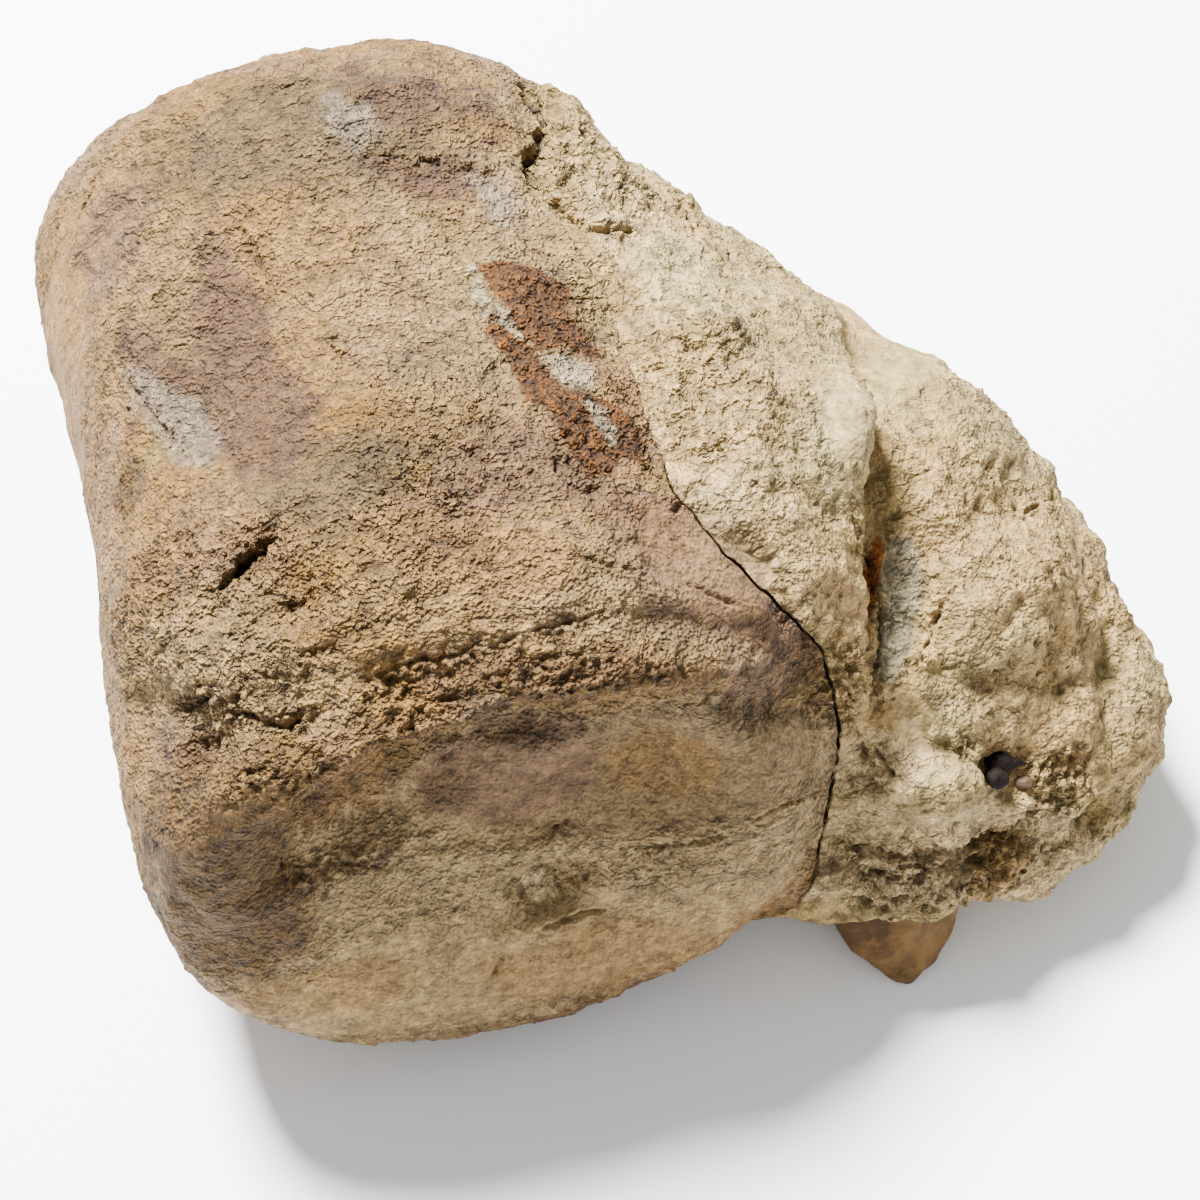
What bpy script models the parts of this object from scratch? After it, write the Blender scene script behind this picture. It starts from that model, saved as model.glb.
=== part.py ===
"""Fossil whale vertebra still joined to a block of its pale matrix.

The bone is one thick vertebral body, a spool with a dished end facing -Y. Rock hugs its right side.
Modelled at real size with +Z up, resting on z = 0.
"""

import math

import bmesh
import bpy
import numpy as np
from mathutils import Vector, noise

MM = 0.001

# The vertebral body: a spool whose axis lies along the floor, in millimetres and degrees.
AXIS_YAW = 13.0
FRONT_CENTRE = (-25.5, -55.5)
RING_POINTS = 56
# (distance along the axis, left width, right width, bottom, top, squareness, lean of the ring)
SPOOL_RINGS = [
    (-16.0, 14.0, 14.0, 76.0, 98.0, 2.0, 0.22),
    (-16.0, 34.0, 34.0, 58.0, 112.0, 2.1, 0.22),
    (-25.0, 53.0, 51.0, 36.0, 118.0, 2.2, 0.22),
    (-28.0, 64.0, 62.0, 17.0, 122.0, 2.3, 0.18),
    (-21.0, 75.0, 72.0, 6.0, 127.0, 2.3, 0.14),
    (-7.0, 79.0, 78.0, -1.0, 132.0, 2.4, 0.06),
    (12.0, 81.0, 82.0, -3.0, 135.0, 2.5, 0.0),
    (45.0, 80.0, 79.0, 0.0, 134.0, 2.4, 0.0),
    (85.0, 78.0, 77.0, 2.0, 131.0, 2.3, 0.0),
    (125.0, 80.0, 76.0, 0.0, 130.0, 2.3, 0.0),
    (153.0, 83.0, 73.0, -3.0, 130.0, 2.4, 0.0),
    (171.0, 83.0, 65.0, -2.0, 128.0, 2.4, 0.0),
    (184.0, 77.0, 54.0, 5.0, 122.0, 2.3, 0.0),
    (192.0, 63.0, 40.0, 16.0, 111.0, 2.2, 0.0),
    (193.0, 42.0, 24.0, 34.0, 96.0, 2.0, 0.0),
    (188.0, 18.0, 10.0, 52.0, 78.0, 2.0, 0.0),
]

# The matrix block: level outlines, from the floor up, anticlockwise from the front left.
MATRIX_POINTS = 64
MATRIX_OUTLINES = {
    -4.0: [(30, -30), (54, -36), (80, -38), (100, -32), (114, -20), (121, -4), (118, 14), (109, 32),
           (94, 50), (72, 66), (42, 80), (8, 92), (-14, 80), (-4, 20)],
    16.0: [(28, -58), (50, -64), (82, -62), (108, -56), (127, -41), (139, -21), (137, 0), (126, 24),
           (108, 52), (84, 72), (54, 90), (12, 110), (-16, 92), (0, 20)],
    40.0: [(30, -58), (54, -65), (86, -60), (112, -49), (130, -34), (140, -14), (134, 2), (125, 28),
           (107, 62), (85, 78), (56, 92), (14, 114), (-18, 98), (0, 20)],
    62.0: [(30, -50), (58, -51), (80, -45), (99, -31), (114, -14), (120, 3), (117, 24), (110, 44),
           (98, 60), (79, 73), (52, 91), (14, 116), (-20, 104), (0, 20)],
    82.0: [(28, -50), (54, -48), (70, -36), (82, -18), (90, 2), (93, 22), (87, 41), (79, 56),
           (67, 70), (54, 81), (40, 92), (12, 115), (-22, 108), (0, 20)],
    98.0: [(24, -48), (46, -46), (56, -32), (64, -14), (70, 4), (72, 20), (67, 34), (60, 47),
           (50, 60), (40, 71), (26, 85), (7, 108), (-24, 106), (0, 20)],
    114.0: [(16, -34), (30, -34), (40, -22), (46, -6), (50, 8), (50, 20), (45, 30), (38, 40),
            (28, 52), (17, 64), (6, 80), (-6, 102), (-26, 94), (0, 20)],
    124.0: [(8, -20), (16, -20), (26, -12), (32, 0), (34, 10), (34, 18), (30, 26), (24, 34),
            (14, 46), (4, 58), (-8, 72), (-18, 84), (-26, 70), (-6, 20)],
}

# The break between bone and matrix: level lines of x and y, from behind the block to in front of it.
BREAK_LINES = {
    -12.0: [(-60, 260), (-42, 130), (-26, 90), (-12, 40), (-2, 0), (6, -30), (10, -52), (12, -66),
           (14, -130)],
    8.0: [(-34, 260), (-20, 132), (-6, 90), (8, 40), (20, 0), (28, -30), (32, -50), (33, -66), (36, -130)],
    26.0: [(-12, 260), (2, 132), (14, 90), (26, 40), (36, 0), (44, -30), (46, -50), (45, -66), (48, -130)],
    44.0: [(-8, 260), (8, 134), (20, 90), (30, 40), (42, 0), (49, -30), (51, -48), (50, -62), (52, -130)],
    70.0: [(-8, 260), (4, 134), (16, 90), (28, 40), (42, 0), (51, -26), (54, -44), (53, -54), (56, -130)],
    98.0: [(-16, 260), (-8, 124), (2, 76), (16, 34), (32, 0), (42, -22), (49, -42), (54, -52), (57, -130)],
    120.0: [(-22, 260), (-18, 116), (-13, 70), (1, 44), (10, 8), (16, -16), (31, -35), (46, -52),
            (54, -130)],
    160.0: [(-22, 260), (-18, 112), (-13, 66), (0, 40), (9, 4), (15, -19), (31, -38), (46, -54),
            (54, -130)],
}
BREAK_LEFT = -260.0
CRACK_OPEN = 1.0
CRACK_TIP_Y = -8.0
CRACK_WIDE_Y = -40.0

# Carved marks. Paths and centres are x, y, z; sizes are across the mark, heights along the surface normal.
BONE_DENTS = {
    "dish": ((-6, -72, 97), (62, 34, 24), -7.0),
    "left end of the dish": ((-58, -86, 90), (26, 20, 14), -3.5),
    "pocket in the end face": ((-12, -77, 57), (9, 12, 7), -5.0),
    "lip under the pocket": ((-14, -82, 47), (12, 12, 6), 2.5),
    "hollow low on the left": ((-78, -92, 62), (14, 16, 14), -3.0),
    "left ledge hole": ((-83, -73, 114), (12, 8, 8), -5.0),
    "ledge hole": ((-64, -72, 122), (11, 6, 9), -5.0),
    "right ledge hole": ((-36, -67, 127), (12, 6, 8), -5.0),
    "crumbled corner": ((-95, -66, 108), (16, 16, 14), -4.0),
    "flake scar": ((-66, -46, 131), (12, 7, 12), -3.0),
    "hollow of the purple patch": ((-86, 24, 124), (20, 34, 24), -4.0),
    "hollow behind it": ((-40, 38, 130), (16, 26, 20), -2.5),
    "swelling by the far end": ((-44, 92, 129), (26, 20, 20), 3.0),
    "hollow beside the far end": ((-96, 88, 112), (22, 20, 20), -3.0),
    "pinkish swelling": ((-34, -14, 132), (26, 24, 20), 2.5),
    "smooth flat by the crack": ((22, -36, 124), (18, 12, 14), -2.5),
    "rounded lower corner": ((22, -88, 16), (34, 22, 22), -1.5),
}
ROCK_DENTS = {
    "pale oval": ((57, 17, 110), (8, 19, 14), 5.0),
    "grey hollow": ((72, -18, 91), (12, 22, 22), -7.0),
    "lobe beside the crack": ((42, -4, 118), (20, 30, 20), 3.0),
    "far lobe": ((88, 38, 83), (24, 24, 20), 4.0),
    "shoulder": ((104, -4, 68), (18, 20, 20), 3.5),
    "brow over the front wall": ((76, -50, 55), (22, 9, 8), 4.0),
    "ochre hollow": ((92, -57, 36), (11, 16, 6), -8.0),
    "hollow at the right": ((119, -42, 32), (7, 12, 7), -6.0),
    "channel beside the bone": ((57, -58, 60), (6, 14, 18), -4.0),
    "lump under the brow": ((70, -62, 26), (12, 12, 9), 4.0),
    "second lump": ((104, -54, 20), (12, 12, 9), 3.5),
    "notch in the far edge": ((58, 90, 88), (8, 14, 14), -5.0),
    "smooth far lump": ((-4, 112, 112), (12, 14, 14), 3.5),
    "second notch": ((98, 66, 58), (8, 12, 18), -5.0),
    "notch by the tip": ((132, 12, 44), (10, 10, 14), -5.0),
    "far crumbly lumps": ((22, 96, 104), (12, 14, 12), 4.0),
}
GROOVES = {
    "gash": ([(-82, -44, 125), (-76, -37, 128), (-71, -30, 130)], 5.0, 6.0),
    "crevice at the far end": ([(-18, 122, 112), (-17, 106, 120), (-14, 72, 124), (0, 60, 124)], 5.0, 4.0),
    "fissure in the matrix": (
        [(64, 36, 101), (64, 4, 103), (65, -15, 96), (65, -32, 89), (63, -44, 80)], 6.0, 6.0,
    ),
    "crack in the far shoulder": ([(-80, 96, 122), (-46, 84, 129), (-22, 82, 127)], 4.0, 2.0),
}
# A ledge drops the surface in front of its path, sharply at the path and easing back over the reach.
LEDGES = {
    "rim above the left corner": (
        [(-100, -52, 108), (-92, -58, 116), (-82, -66, 118), (-72, -62, 125), (-60, -68, 126)],
        (0.1, -1.0, -0.4), 4.5, 17.0,
    ),
    "rim above the dish": (
        [(-58, -58, 131), (-47, -64, 129), (-38, -60, 131), (-27, -58, 131), (-16, -60, 129),
         (-6, -52, 131), (8, -46, 129), (24, -43, 124), (40, -40, 112), (48, -42, 100)],
        (0.2, -1.0, -0.3), 4.0, 22.0,
    ),
    "arc over the dish": (
        [(-42, -74, 105), (-30, -70, 112), (-8, -67, 118), (10, -66, 120), (30, -60, 115), (46, -55, 106)],
        (0.0, -0.5, -1.0), 4.5, 20.0,
    ),
    "flake above the corner": (
        [(-84, -40, 123), (-76, -48, 126), (-66, -50, 130), (-56, -44, 133)],
        (0.0, -1.0, 0.0), 2.5, 12.0,
    ),
    "ridge across the end face": (
        [(-74, -88, 76), (-64, -88, 78), (-40, -82, 76), (-12, -76, 70), (20, -72, 74)],
        (0.0, 0.2, 1.0), 2.5, 12.0,
    ),
    "left edge of the fissure": (
        [(60, 44, 102), (63, 30, 102), (61, 12, 103), (64, -6, 99), (63, -22, 93), (66, -34, 86),
         (61, -46, 80)],
        (1.0, 0.0, -0.4), 6.0, 26.0,
    ),
    "brow": (
        [(56, -58, 50), (66, -57, 46), (76, -59, 48), (88, -54, 44), (100, -53, 45),
         (110, -46, 38), (128, -34, 36)],
        (0.0, -0.3, -1.0), 5.0, 16.0,
    ),
    "far step": (
        [(24, 92, 104), (36, 78, 101), (50, 72, 94), (62, 60, 91), (80, 58, 82), (104, 42, 66)],
        (0.5, 1.0, -0.2), 4.0, 20.0,
    ),
    "step down to the tip": (
        [(112, 34, 58), (108, 18, 64), (112, 4, 62), (118, -8, 56), (116, -22, 50)],
        (1.0, 0.1, -0.3), 3.5, 16.0,
    ),
}

# The tapered stone under the block: (height, centre x, centre y, half width, half depth).
SPUR_RINGS = [
    (0.0, 73.5, -69.0, 4.5, 3.0),
    (4.0, 73.0, -66.0, 9.5, 6.0),
    (10.0, 70.5, -61.0, 14.5, 8.5),
    (18.0, 69.0, -54.0, 17.5, 10.0),
    (27.0, 69.0, -45.0, 15.0, 9.0),
    (32.0, 69.0, -41.0, 9.0, 5.0),
]
SPUR_POINTS = 18
NODULE_AT = (92.5, -42.0)
NODULE_RADII = (5.2, 4.2, 4.6)
PEBBLE_AT = (99.5, -43.5)
PEBBLE_RADII = (2.5, 1.9, 2.0)

GAP = 0.3
VOXEL = 2.6
SOFTEN_STEPS = 8
SKIN_TRIANGLES = 7900
# How far past its radii a dent still reaches, as a share of them.
DENT_REACH = 1.35
BONE_ROUGHNESS = 1.1
ROCK_ROUGHNESS = 3.0
LUMP_SIZE = 17.0
GRIT_SIZE = 7.0
ROCK_BLEND = 9.0
# Waves around the tapered stone: how many, how high as a share of its width, and how they turn with height.
SPUR_WAVES = [(3, 0.10, 0.11, 0.0), (5, 0.05, 0.0, 1.0)]
NODULE_WAIST = 0.35
WAIST_WIDTH = 0.28
STONE_BUMP = 0.06
STONE_BUMP_RATE = 2.3
SUNK_SHARE = 0.25
ABOVE_EVERYTHING = 500.0
CURVE_STEPS = 12


def clear_scene():
    for obj in list(bpy.data.objects):
        bpy.data.objects.remove(obj)


def object_from(name, bm):
    bmesh.ops.recalc_face_normals(bm, faces=bm.faces)
    mesh = bpy.data.meshes.new(name)
    bm.to_mesh(mesh)
    bm.free()
    obj = bpy.data.objects.new(name, mesh)
    bpy.context.scene.collection.objects.link(obj)
    return obj


def bridge_rings(bm, rings):
    """Rings of equal point count, joined one to the next, with both ends closed."""
    for lower, upper in zip(rings, rings[1:]):
        for i in range(len(lower)):
            j = (i + 1) % len(lower)
            bm.faces.new((lower[i], lower[j], upper[j], upper[i]))
    bm.faces.new(rings[0][::-1])
    bm.faces.new(rings[-1])


def spool_ring(bm, along, left, right, bottom, top, squareness, lean):
    yaw = math.radians(AXIS_YAW)
    back = Vector((-math.sin(yaw), math.cos(yaw), 0.0))
    side = Vector((math.cos(yaw), math.sin(yaw), 0.0))
    centre = Vector((*FRONT_CENTRE, 0.0))
    middle, half_height = (top + bottom) / 2, (top - bottom) / 2
    ring = []
    for i in range(RING_POINTS):
        angle = 2 * math.pi * i / RING_POINTS
        c, s = math.cos(angle), math.sin(angle)
        across = (right if c > 0 else left) * math.copysign(abs(c) ** (2 / squareness), c)
        up = half_height * math.copysign(abs(s) ** (2 / squareness), s)
        at = centre + side * across + back * (along + lean * up)
        at.z = middle + up
        ring.append(bm.verts.new(at * MM))
    return ring


def build_spool():
    bm = bmesh.new()
    rings = [spool_ring(bm, *row) for row in SPOOL_RINGS]
    bridge_rings(bm, rings)
    return object_from("spool", bm)


def smooth_outline(points, count):
    """Points evenly spaced along a closed Catmull-Rom curve through the given ones."""
    given = [np.array(p, float) for p in points]
    dense = []
    for i in range(len(given)):
        a, b, c, d = (given[(i + k) % len(given)] for k in (-1, 0, 1, 2))
        for t in np.linspace(0, 1, CURVE_STEPS, endpoint=False):
            bend = (2 * a - 5 * b + 4 * c - d) * t**2 + (3 * b - a - 3 * c + d) * t**3
            dense.append(0.5 * (2 * b + (c - a) * t + bend))
    dense.append(dense[0])
    dense = np.array(dense)
    length = np.concatenate([[0], np.cumsum(np.linalg.norm(np.diff(dense, axis=0), axis=1))])
    wanted = np.linspace(0, length[-1], count, endpoint=False)
    return np.stack([np.interp(wanted, length, dense[:, k]) for k in (0, 1)], axis=1)


def build_block():
    bm = bmesh.new()
    rings = []
    for level, outline in MATRIX_OUTLINES.items():
        line = smooth_outline(outline, MATRIX_POINTS)
        rings.append([bm.verts.new((x * MM, y * MM, level * MM)) for x, y in line])
    bridge_rings(bm, rings)
    return object_from("block", bm)


def evaluated_mesh(obj):
    graph = bpy.context.evaluated_depsgraph_get()
    return bpy.data.meshes.new_from_object(obj.evaluated_get(graph))


def join_skin(spool, block):
    """Bone and matrix as one closed skin."""
    bpy.context.view_layer.update()
    bm = bmesh.new()
    for obj in (spool, block):
        bm.from_mesh(obj.data)
        bpy.data.objects.remove(obj)
    skin = object_from("skin", bm)
    remesh = skin.modifiers.new("one skin", "REMESH")
    remesh.mode = "VOXEL"
    remesh.voxel_size = VOXEL * MM
    soften = skin.modifiers.new("soften", "SMOOTH")
    soften.factor = 0.5
    soften.iterations = SOFTEN_STEPS
    skin.data = evaluated_mesh(skin)
    skin.modifiers.clear()
    return skin


def break_x(y, z):
    """Where the break lies at this depth and height."""
    levels = sorted(BREAK_LINES)
    at_level = []
    for level in levels:
        line = np.array(BREAK_LINES[level][::-1], float)
        at_level.append(np.interp(y, line[:, 1], line[:, 0]))
    at_level = np.array(at_level)
    place = np.interp(z, levels, range(len(levels)))
    low = np.minimum(place.astype(int), len(levels) - 2)
    share = place - low
    columns = np.arange(len(y))
    return at_level[low, columns] * (1 - share) + at_level[low + 1, columns] * share


def ease(t):
    t = np.clip(t, 0, 1)
    return t * t * (3 - 2 * t)


def nearest_on_path(points, path):
    """The nearest point of a bent line to each point."""
    path = np.array(path, float)
    nearest = np.zeros_like(points)
    best = np.full(len(points), np.inf)
    for start, end in zip(path, path[1:]):
        run = end - start
        share = np.clip((points - start) @ run / (run @ run), 0, 1)
        there = start + share[:, None] * run
        distance = np.linalg.norm(points - there, axis=1)
        closer = distance < best
        nearest[closer] = there[closer]
        best[closer] = distance[closer]
    return nearest, best


def dent_height(points, centre, radii, height):
    away = np.linalg.norm((points - np.array(centre, float)) / np.array(radii, float), axis=1)
    return height * ease(DENT_REACH - away)


def groove_height(points, path, width, depth):
    return -depth * ease(1 - nearest_on_path(points, path)[1] / width)


def ledge_height(points, path, front, height, reach):
    nearest, distance = nearest_on_path(points, path)
    front = np.array(front, float) / np.linalg.norm(front)
    ahead = (points - nearest) @ front
    return -height * ease(ahead / VOXEL) * ease(1 - distance / reach)


def rough_height(points, size, seed):
    shift = Vector((seed, seed * 1.7, -seed))
    return np.array([noise.fractal(Vector(p) / size + shift, 1.0, 2.0, 3) for p in points])


def carve(skin):
    mesh = skin.data
    points = np.empty(len(mesh.vertices) * 3)
    mesh.vertices.foreach_get("co", points)
    points = points.reshape(-1, 3) / MM
    normals = np.empty(len(mesh.vertices) * 3)
    mesh.vertices.foreach_get("normal", normals)
    normals = normals.reshape(-1, 3)
    rock = ease((points[:, 0] - break_x(points[:, 1], points[:, 2])) / ROCK_BLEND + 0.5)
    raised = np.zeros(len(points))
    for mark in BONE_DENTS.values():
        raised += dent_height(points, *mark) * (1 - rock)
    for mark in ROCK_DENTS.values():
        raised += dent_height(points, *mark) * rock
    for mark in GROOVES.values():
        raised += groove_height(points, *mark)
    for mark in LEDGES.values():
        raised += ledge_height(points, *mark)
    amount = BONE_ROUGHNESS + (ROCK_ROUGHNESS - BONE_ROUGHNESS) * rock
    raised += amount * (rough_height(points, LUMP_SIZE, 3.0) + 0.5 * rough_height(points, GRIT_SIZE, 8.0))
    points += normals * raised[:, None]
    mesh.vertices.foreach_set("co", (points * MM).ravel())
    mesh.update()


def thin_and_flatten(skin):
    """Fewer triangles, then a flat underside where the piece lies."""
    thin = skin.modifiers.new("thin", "DECIMATE")
    thin.ratio = SKIN_TRIANGLES / sum(len(p.vertices) - 2 for p in skin.data.polygons)
    skin.data = evaluated_mesh(skin)
    skin.modifiers.clear()
    bm = bmesh.new()
    bm.from_mesh(skin.data)
    everything = bm.verts[:] + bm.edges[:] + bm.faces[:]
    cut = bmesh.ops.bisect_plane(
        bm, geom=everything, plane_co=(0, 0, 0), plane_no=(0, 0, 1), clear_inner=True
    )
    rim = [item for item in cut["geom_cut"] if isinstance(item, bmesh.types.BMEdge)]
    bmesh.ops.holes_fill(bm, edges=rim, sides=0)
    bmesh.ops.triangulate(bm, faces=[face for face in bm.faces if len(face.verts) > 3])
    bmesh.ops.recalc_face_normals(bm, faces=bm.faces)
    bm.to_mesh(skin.data)
    bm.free()


def break_solid(name, opening):
    """Everything on the bone's side of the break, its face moved towards the rock by the opening."""
    bm = bmesh.new()
    rings = []
    for level, line in sorted(BREAK_LINES.items()):
        corners = [(BREAK_LEFT, line[-1][1]), (BREAK_LEFT, line[0][1])]
        moved = [(x + opening(y), y) for x, y in line]
        rings.append([bm.verts.new((x * MM, y * MM, level * MM)) for x, y in moved + corners])
    bridge_rings(bm, rings)
    bmesh.ops.triangulate(bm, faces=bm.faces)
    return object_from(name, bm)


def crack_opening(y):
    return GAP + CRACK_OPEN * float(ease((CRACK_TIP_Y - y) / (CRACK_TIP_Y - CRACK_WIDE_Y)))


def combine(obj, cutter, operation):
    cut = obj.modifiers.new(cutter.name, "BOOLEAN")
    cut.object = cutter
    cut.operation = operation
    cut.solver = "EXACT"
    bpy.context.view_layer.update()
    obj.data = evaluated_mesh(obj)
    obj.modifiers.clear()


def copy_of(obj, name):
    copy = bpy.data.objects.new(name, obj.data.copy())
    bpy.context.scene.collection.objects.link(copy)
    return copy


def keep_largest(obj):
    """Crumbs that the break leaves loose are dropped."""
    bm = bmesh.new()
    bm.from_mesh(obj.data)
    bm.verts.ensure_lookup_table()
    left = set(bm.verts)
    groups = []
    while left:
        group = {left.pop()}
        edge_of_group = list(group)
        while edge_of_group:
            vert = edge_of_group.pop()
            for edge in vert.link_edges:
                other = edge.other_vert(vert)
                if other in left:
                    left.discard(other)
                    group.add(other)
                    edge_of_group.append(other)
        groups.append(group)
    groups.sort(key=len)
    for group in groups[:-1]:
        bmesh.ops.delete(bm, geom=list(group), context="VERTS")
    bm.to_mesh(obj.data)
    bm.free()


def split_at_break(skin):
    near = break_solid("bone side", lambda y: 0.0)
    far = break_solid("bone side and crack", crack_opening)
    bone = copy_of(skin, "vertebra")
    combine(bone, near, "INTERSECT")
    rock = copy_of(skin, "matrix")
    combine(rock, far, "DIFFERENCE")
    for helper in (near, far, skin):
        bpy.data.objects.remove(helper)
    keep_largest(bone)
    keep_largest(rock)
    return bone, rock


def spur(name, grow):
    bm = bmesh.new()
    rings = []
    for height, x, y, half_width, half_depth in SPUR_RINGS:
        ring = []
        for i in range(SPUR_POINTS):
            angle = 2 * math.pi * i / SPUR_POINTS
            wave = 1.0
            for count, high, twist, start in SPUR_WAVES:
                wave += high * math.sin(count * angle + height * twist + start)
            at_x = x + (half_width + grow) * wave * math.cos(angle)
            at_y = y + (half_depth + grow) * wave * math.sin(angle)
            ring.append(bm.verts.new((at_x * MM, at_y * MM, height * MM)))
        rings.append(ring)
    if grow:
        for vert in rings[0]:
            vert.co.z -= grow * MM
        for vert in rings[-1]:
            vert.co.z += grow * MM
    bridge_rings(bm, rings)
    bmesh.ops.triangulate(bm, faces=bm.faces)
    return object_from(name, bm)


def surface_height(obj, x, y):
    _, place, _, _ = obj.ray_cast(Vector((x, y, ABOVE_EVERYTHING)) * MM, Vector((0, 0, -1)))
    return place.z / MM


def pebble(name, centre, radii, pinch, grow):
    """A stone with an optional waist that parts it into two lobes."""
    bm = bmesh.new()
    bmesh.ops.create_icosphere(bm, subdivisions=2 + (pinch > 0), radius=1.0)
    for vert in bm.verts:
        direction = vert.co.normalized()
        towards_waist = math.exp(-((direction.y / WAIST_WIDTH) ** 2)) * max(0.0, direction.x + direction.z)
        waist = 1 - pinch * towards_waist
        bump = 1 + STONE_BUMP * noise.noise(direction * STONE_BUMP_RATE)
        for axis in range(3):
            vert.co[axis] = (centre[axis] + direction[axis] * (radii[axis] * waist * bump + grow)) * MM
    return object_from(name, bm)


def set_stone(rock, name, at, radii, pinch):
    """A stone half sunk in the rock, in a socket that follows it."""
    centre = (*at, surface_height(rock, *at) - SUNK_SHARE * radii[2])
    socket = pebble("socket", centre, radii, pinch, GAP)
    combine(rock, socket, "DIFFERENCE")
    bpy.data.objects.remove(socket)
    return pebble(name, centre, radii, pinch, 0.0)


def finish(obj, colour, roughness):
    material = bpy.data.materials.new(obj.name)
    material.use_nodes = True
    shader = material.node_tree.nodes["Principled BSDF"]
    shader.inputs["Base Color"].default_value = (*colour, 1.0)
    shader.inputs["Roughness"].default_value = roughness
    obj.data.materials.clear()
    obj.data.materials.append(material)
    obj.data.shade_smooth()


def stand_on_origin(nodes):
    """Hangs the pieces on one empty, placed so that the middle of their underside is the origin."""
    corners = np.array([vert.co[:] for obj in nodes for vert in obj.data.vertices])
    low, high = corners.min(axis=0), corners.max(axis=0)
    frame = bpy.data.objects.new("specimen", None)
    bpy.context.scene.collection.objects.link(frame)
    frame.location = (-(low[0] + high[0]) / 2, -(low[1] + high[1]) / 2, -low[2])
    for obj in nodes:
        obj.parent = frame


def main():
    clear_scene()
    skin = join_skin(build_spool(), build_block())
    carve(skin)
    thin_and_flatten(skin)
    bone, rock = split_at_break(skin)
    socket = spur("spur socket", GAP)
    combine(rock, socket, "DIFFERENCE")
    bpy.data.objects.remove(socket)
    stone = spur("bone_spur", 0.0)
    nodule = set_stone(rock, "black_nodule", NODULE_AT, NODULE_RADII, NODULE_WAIST)
    brown = set_stone(rock, "brown_pebble", PEBBLE_AT, PEBBLE_RADII, 0.0)
    finish(bone, (0.50, 0.38, 0.25), 0.85)
    finish(rock, (0.62, 0.54, 0.40), 0.92)
    finish(stone, (0.47, 0.32, 0.16), 0.6)
    finish(nodule, (0.03, 0.03, 0.035), 0.25)
    finish(brown, (0.30, 0.23, 0.16), 0.5)
    stand_on_origin([bone, rock, stone, nodule, brown])


main()
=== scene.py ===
import math

import bmesh
import bpy
import numpy as np
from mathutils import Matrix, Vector, noise
from mathutils.bvhtree import BVHTree
from mathutils.kdtree import KDTree


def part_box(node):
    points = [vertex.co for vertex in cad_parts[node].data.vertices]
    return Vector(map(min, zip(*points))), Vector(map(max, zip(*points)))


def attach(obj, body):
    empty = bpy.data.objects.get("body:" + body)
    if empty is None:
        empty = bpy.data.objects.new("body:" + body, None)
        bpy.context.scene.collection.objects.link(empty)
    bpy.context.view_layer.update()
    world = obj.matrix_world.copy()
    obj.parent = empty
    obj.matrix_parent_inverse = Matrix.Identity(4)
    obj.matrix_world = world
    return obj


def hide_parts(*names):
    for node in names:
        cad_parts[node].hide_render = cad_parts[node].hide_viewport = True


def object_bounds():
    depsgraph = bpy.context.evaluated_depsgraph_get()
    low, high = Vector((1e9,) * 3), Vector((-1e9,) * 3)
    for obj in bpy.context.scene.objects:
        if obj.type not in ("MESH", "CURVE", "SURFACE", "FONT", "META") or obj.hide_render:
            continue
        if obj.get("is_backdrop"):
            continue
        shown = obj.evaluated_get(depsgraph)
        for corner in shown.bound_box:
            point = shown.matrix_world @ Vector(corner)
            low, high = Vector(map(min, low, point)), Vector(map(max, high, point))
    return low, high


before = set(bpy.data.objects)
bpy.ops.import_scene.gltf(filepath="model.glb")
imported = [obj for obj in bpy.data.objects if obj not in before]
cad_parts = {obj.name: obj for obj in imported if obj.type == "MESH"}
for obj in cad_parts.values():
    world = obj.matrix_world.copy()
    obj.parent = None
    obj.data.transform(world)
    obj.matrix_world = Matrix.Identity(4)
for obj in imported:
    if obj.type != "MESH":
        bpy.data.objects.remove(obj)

cadLow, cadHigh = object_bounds()
mm = 0.001
print("frame loaded, longest side", round((cadHigh - cadLow).x / mm), "mm")


# camera: the photograph looks down on the piece, straight along +Y
view = {"elevation": 56.0, "lens": 80.0, "sensor": 36.0, "distance": 640.0,
        "target": (1.96, -19.91, 60.0), "imageSide": 1200}
tilt = math.radians(view["elevation"])
viewBack = Vector((0, -math.cos(tilt), math.sin(tilt)))
viewRight = Vector((1, 0, 0))
viewUp = Vector((0, math.sin(tilt), math.cos(tilt)))
viewEye = (Vector(view["target"]) + viewBack * view["distance"]) * mm
pixelsPerUnit = view["lens"] / view["sensor"] * view["imageSide"]
mmPerPixel = view["distance"] / pixelsPerUnit
imageMiddle = view["imageSide"] / 2

cameraData = bpy.data.cameras.new("camera")
cameraData.lens = view["lens"]
cameraData.sensor_width = view["sensor"]
cameraData.clip_end = 20
camera = bpy.data.objects.new("camera", cameraData)
camera.location = viewEye
camera.rotation_mode = "QUATERNION"
camera.rotation_quaternion = (-viewBack).to_track_quat("-Z", "Y")
bpy.context.scene.collection.objects.link(camera)
bpy.context.scene.camera = camera


def pixelRay(u, v):
    across = viewRight * (u - imageMiddle) - viewUp * (v - imageMiddle)
    return (across - viewBack * pixelsPerUnit).normalized()


# colours are read off a screen as sRGB, and the shaders want them linear
def linear(code, alpha=1.0):
    parts = [int(code[i:i + 2], 16) / 255 for i in (1, 3, 5)]
    return tuple(p / 12.92 if p <= 0.04045 else ((p + 0.055) / 1.055) ** 2.4 for p in parts) + (alpha,)


def meshObject(name, bm):
    mesh = bpy.data.meshes.new(name)
    bm.to_mesh(mesh)
    bm.free()
    obj = bpy.data.objects.new(name, mesh)
    bpy.context.scene.collection.objects.link(obj)
    return obj


def bakeModifiers(obj):
    bpy.context.view_layer.update()
    graph = bpy.context.evaluated_depsgraph_get()
    obj.data = bpy.data.meshes.new_from_object(obj.evaluated_get(graph))
    obj.modifiers.clear()


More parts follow.
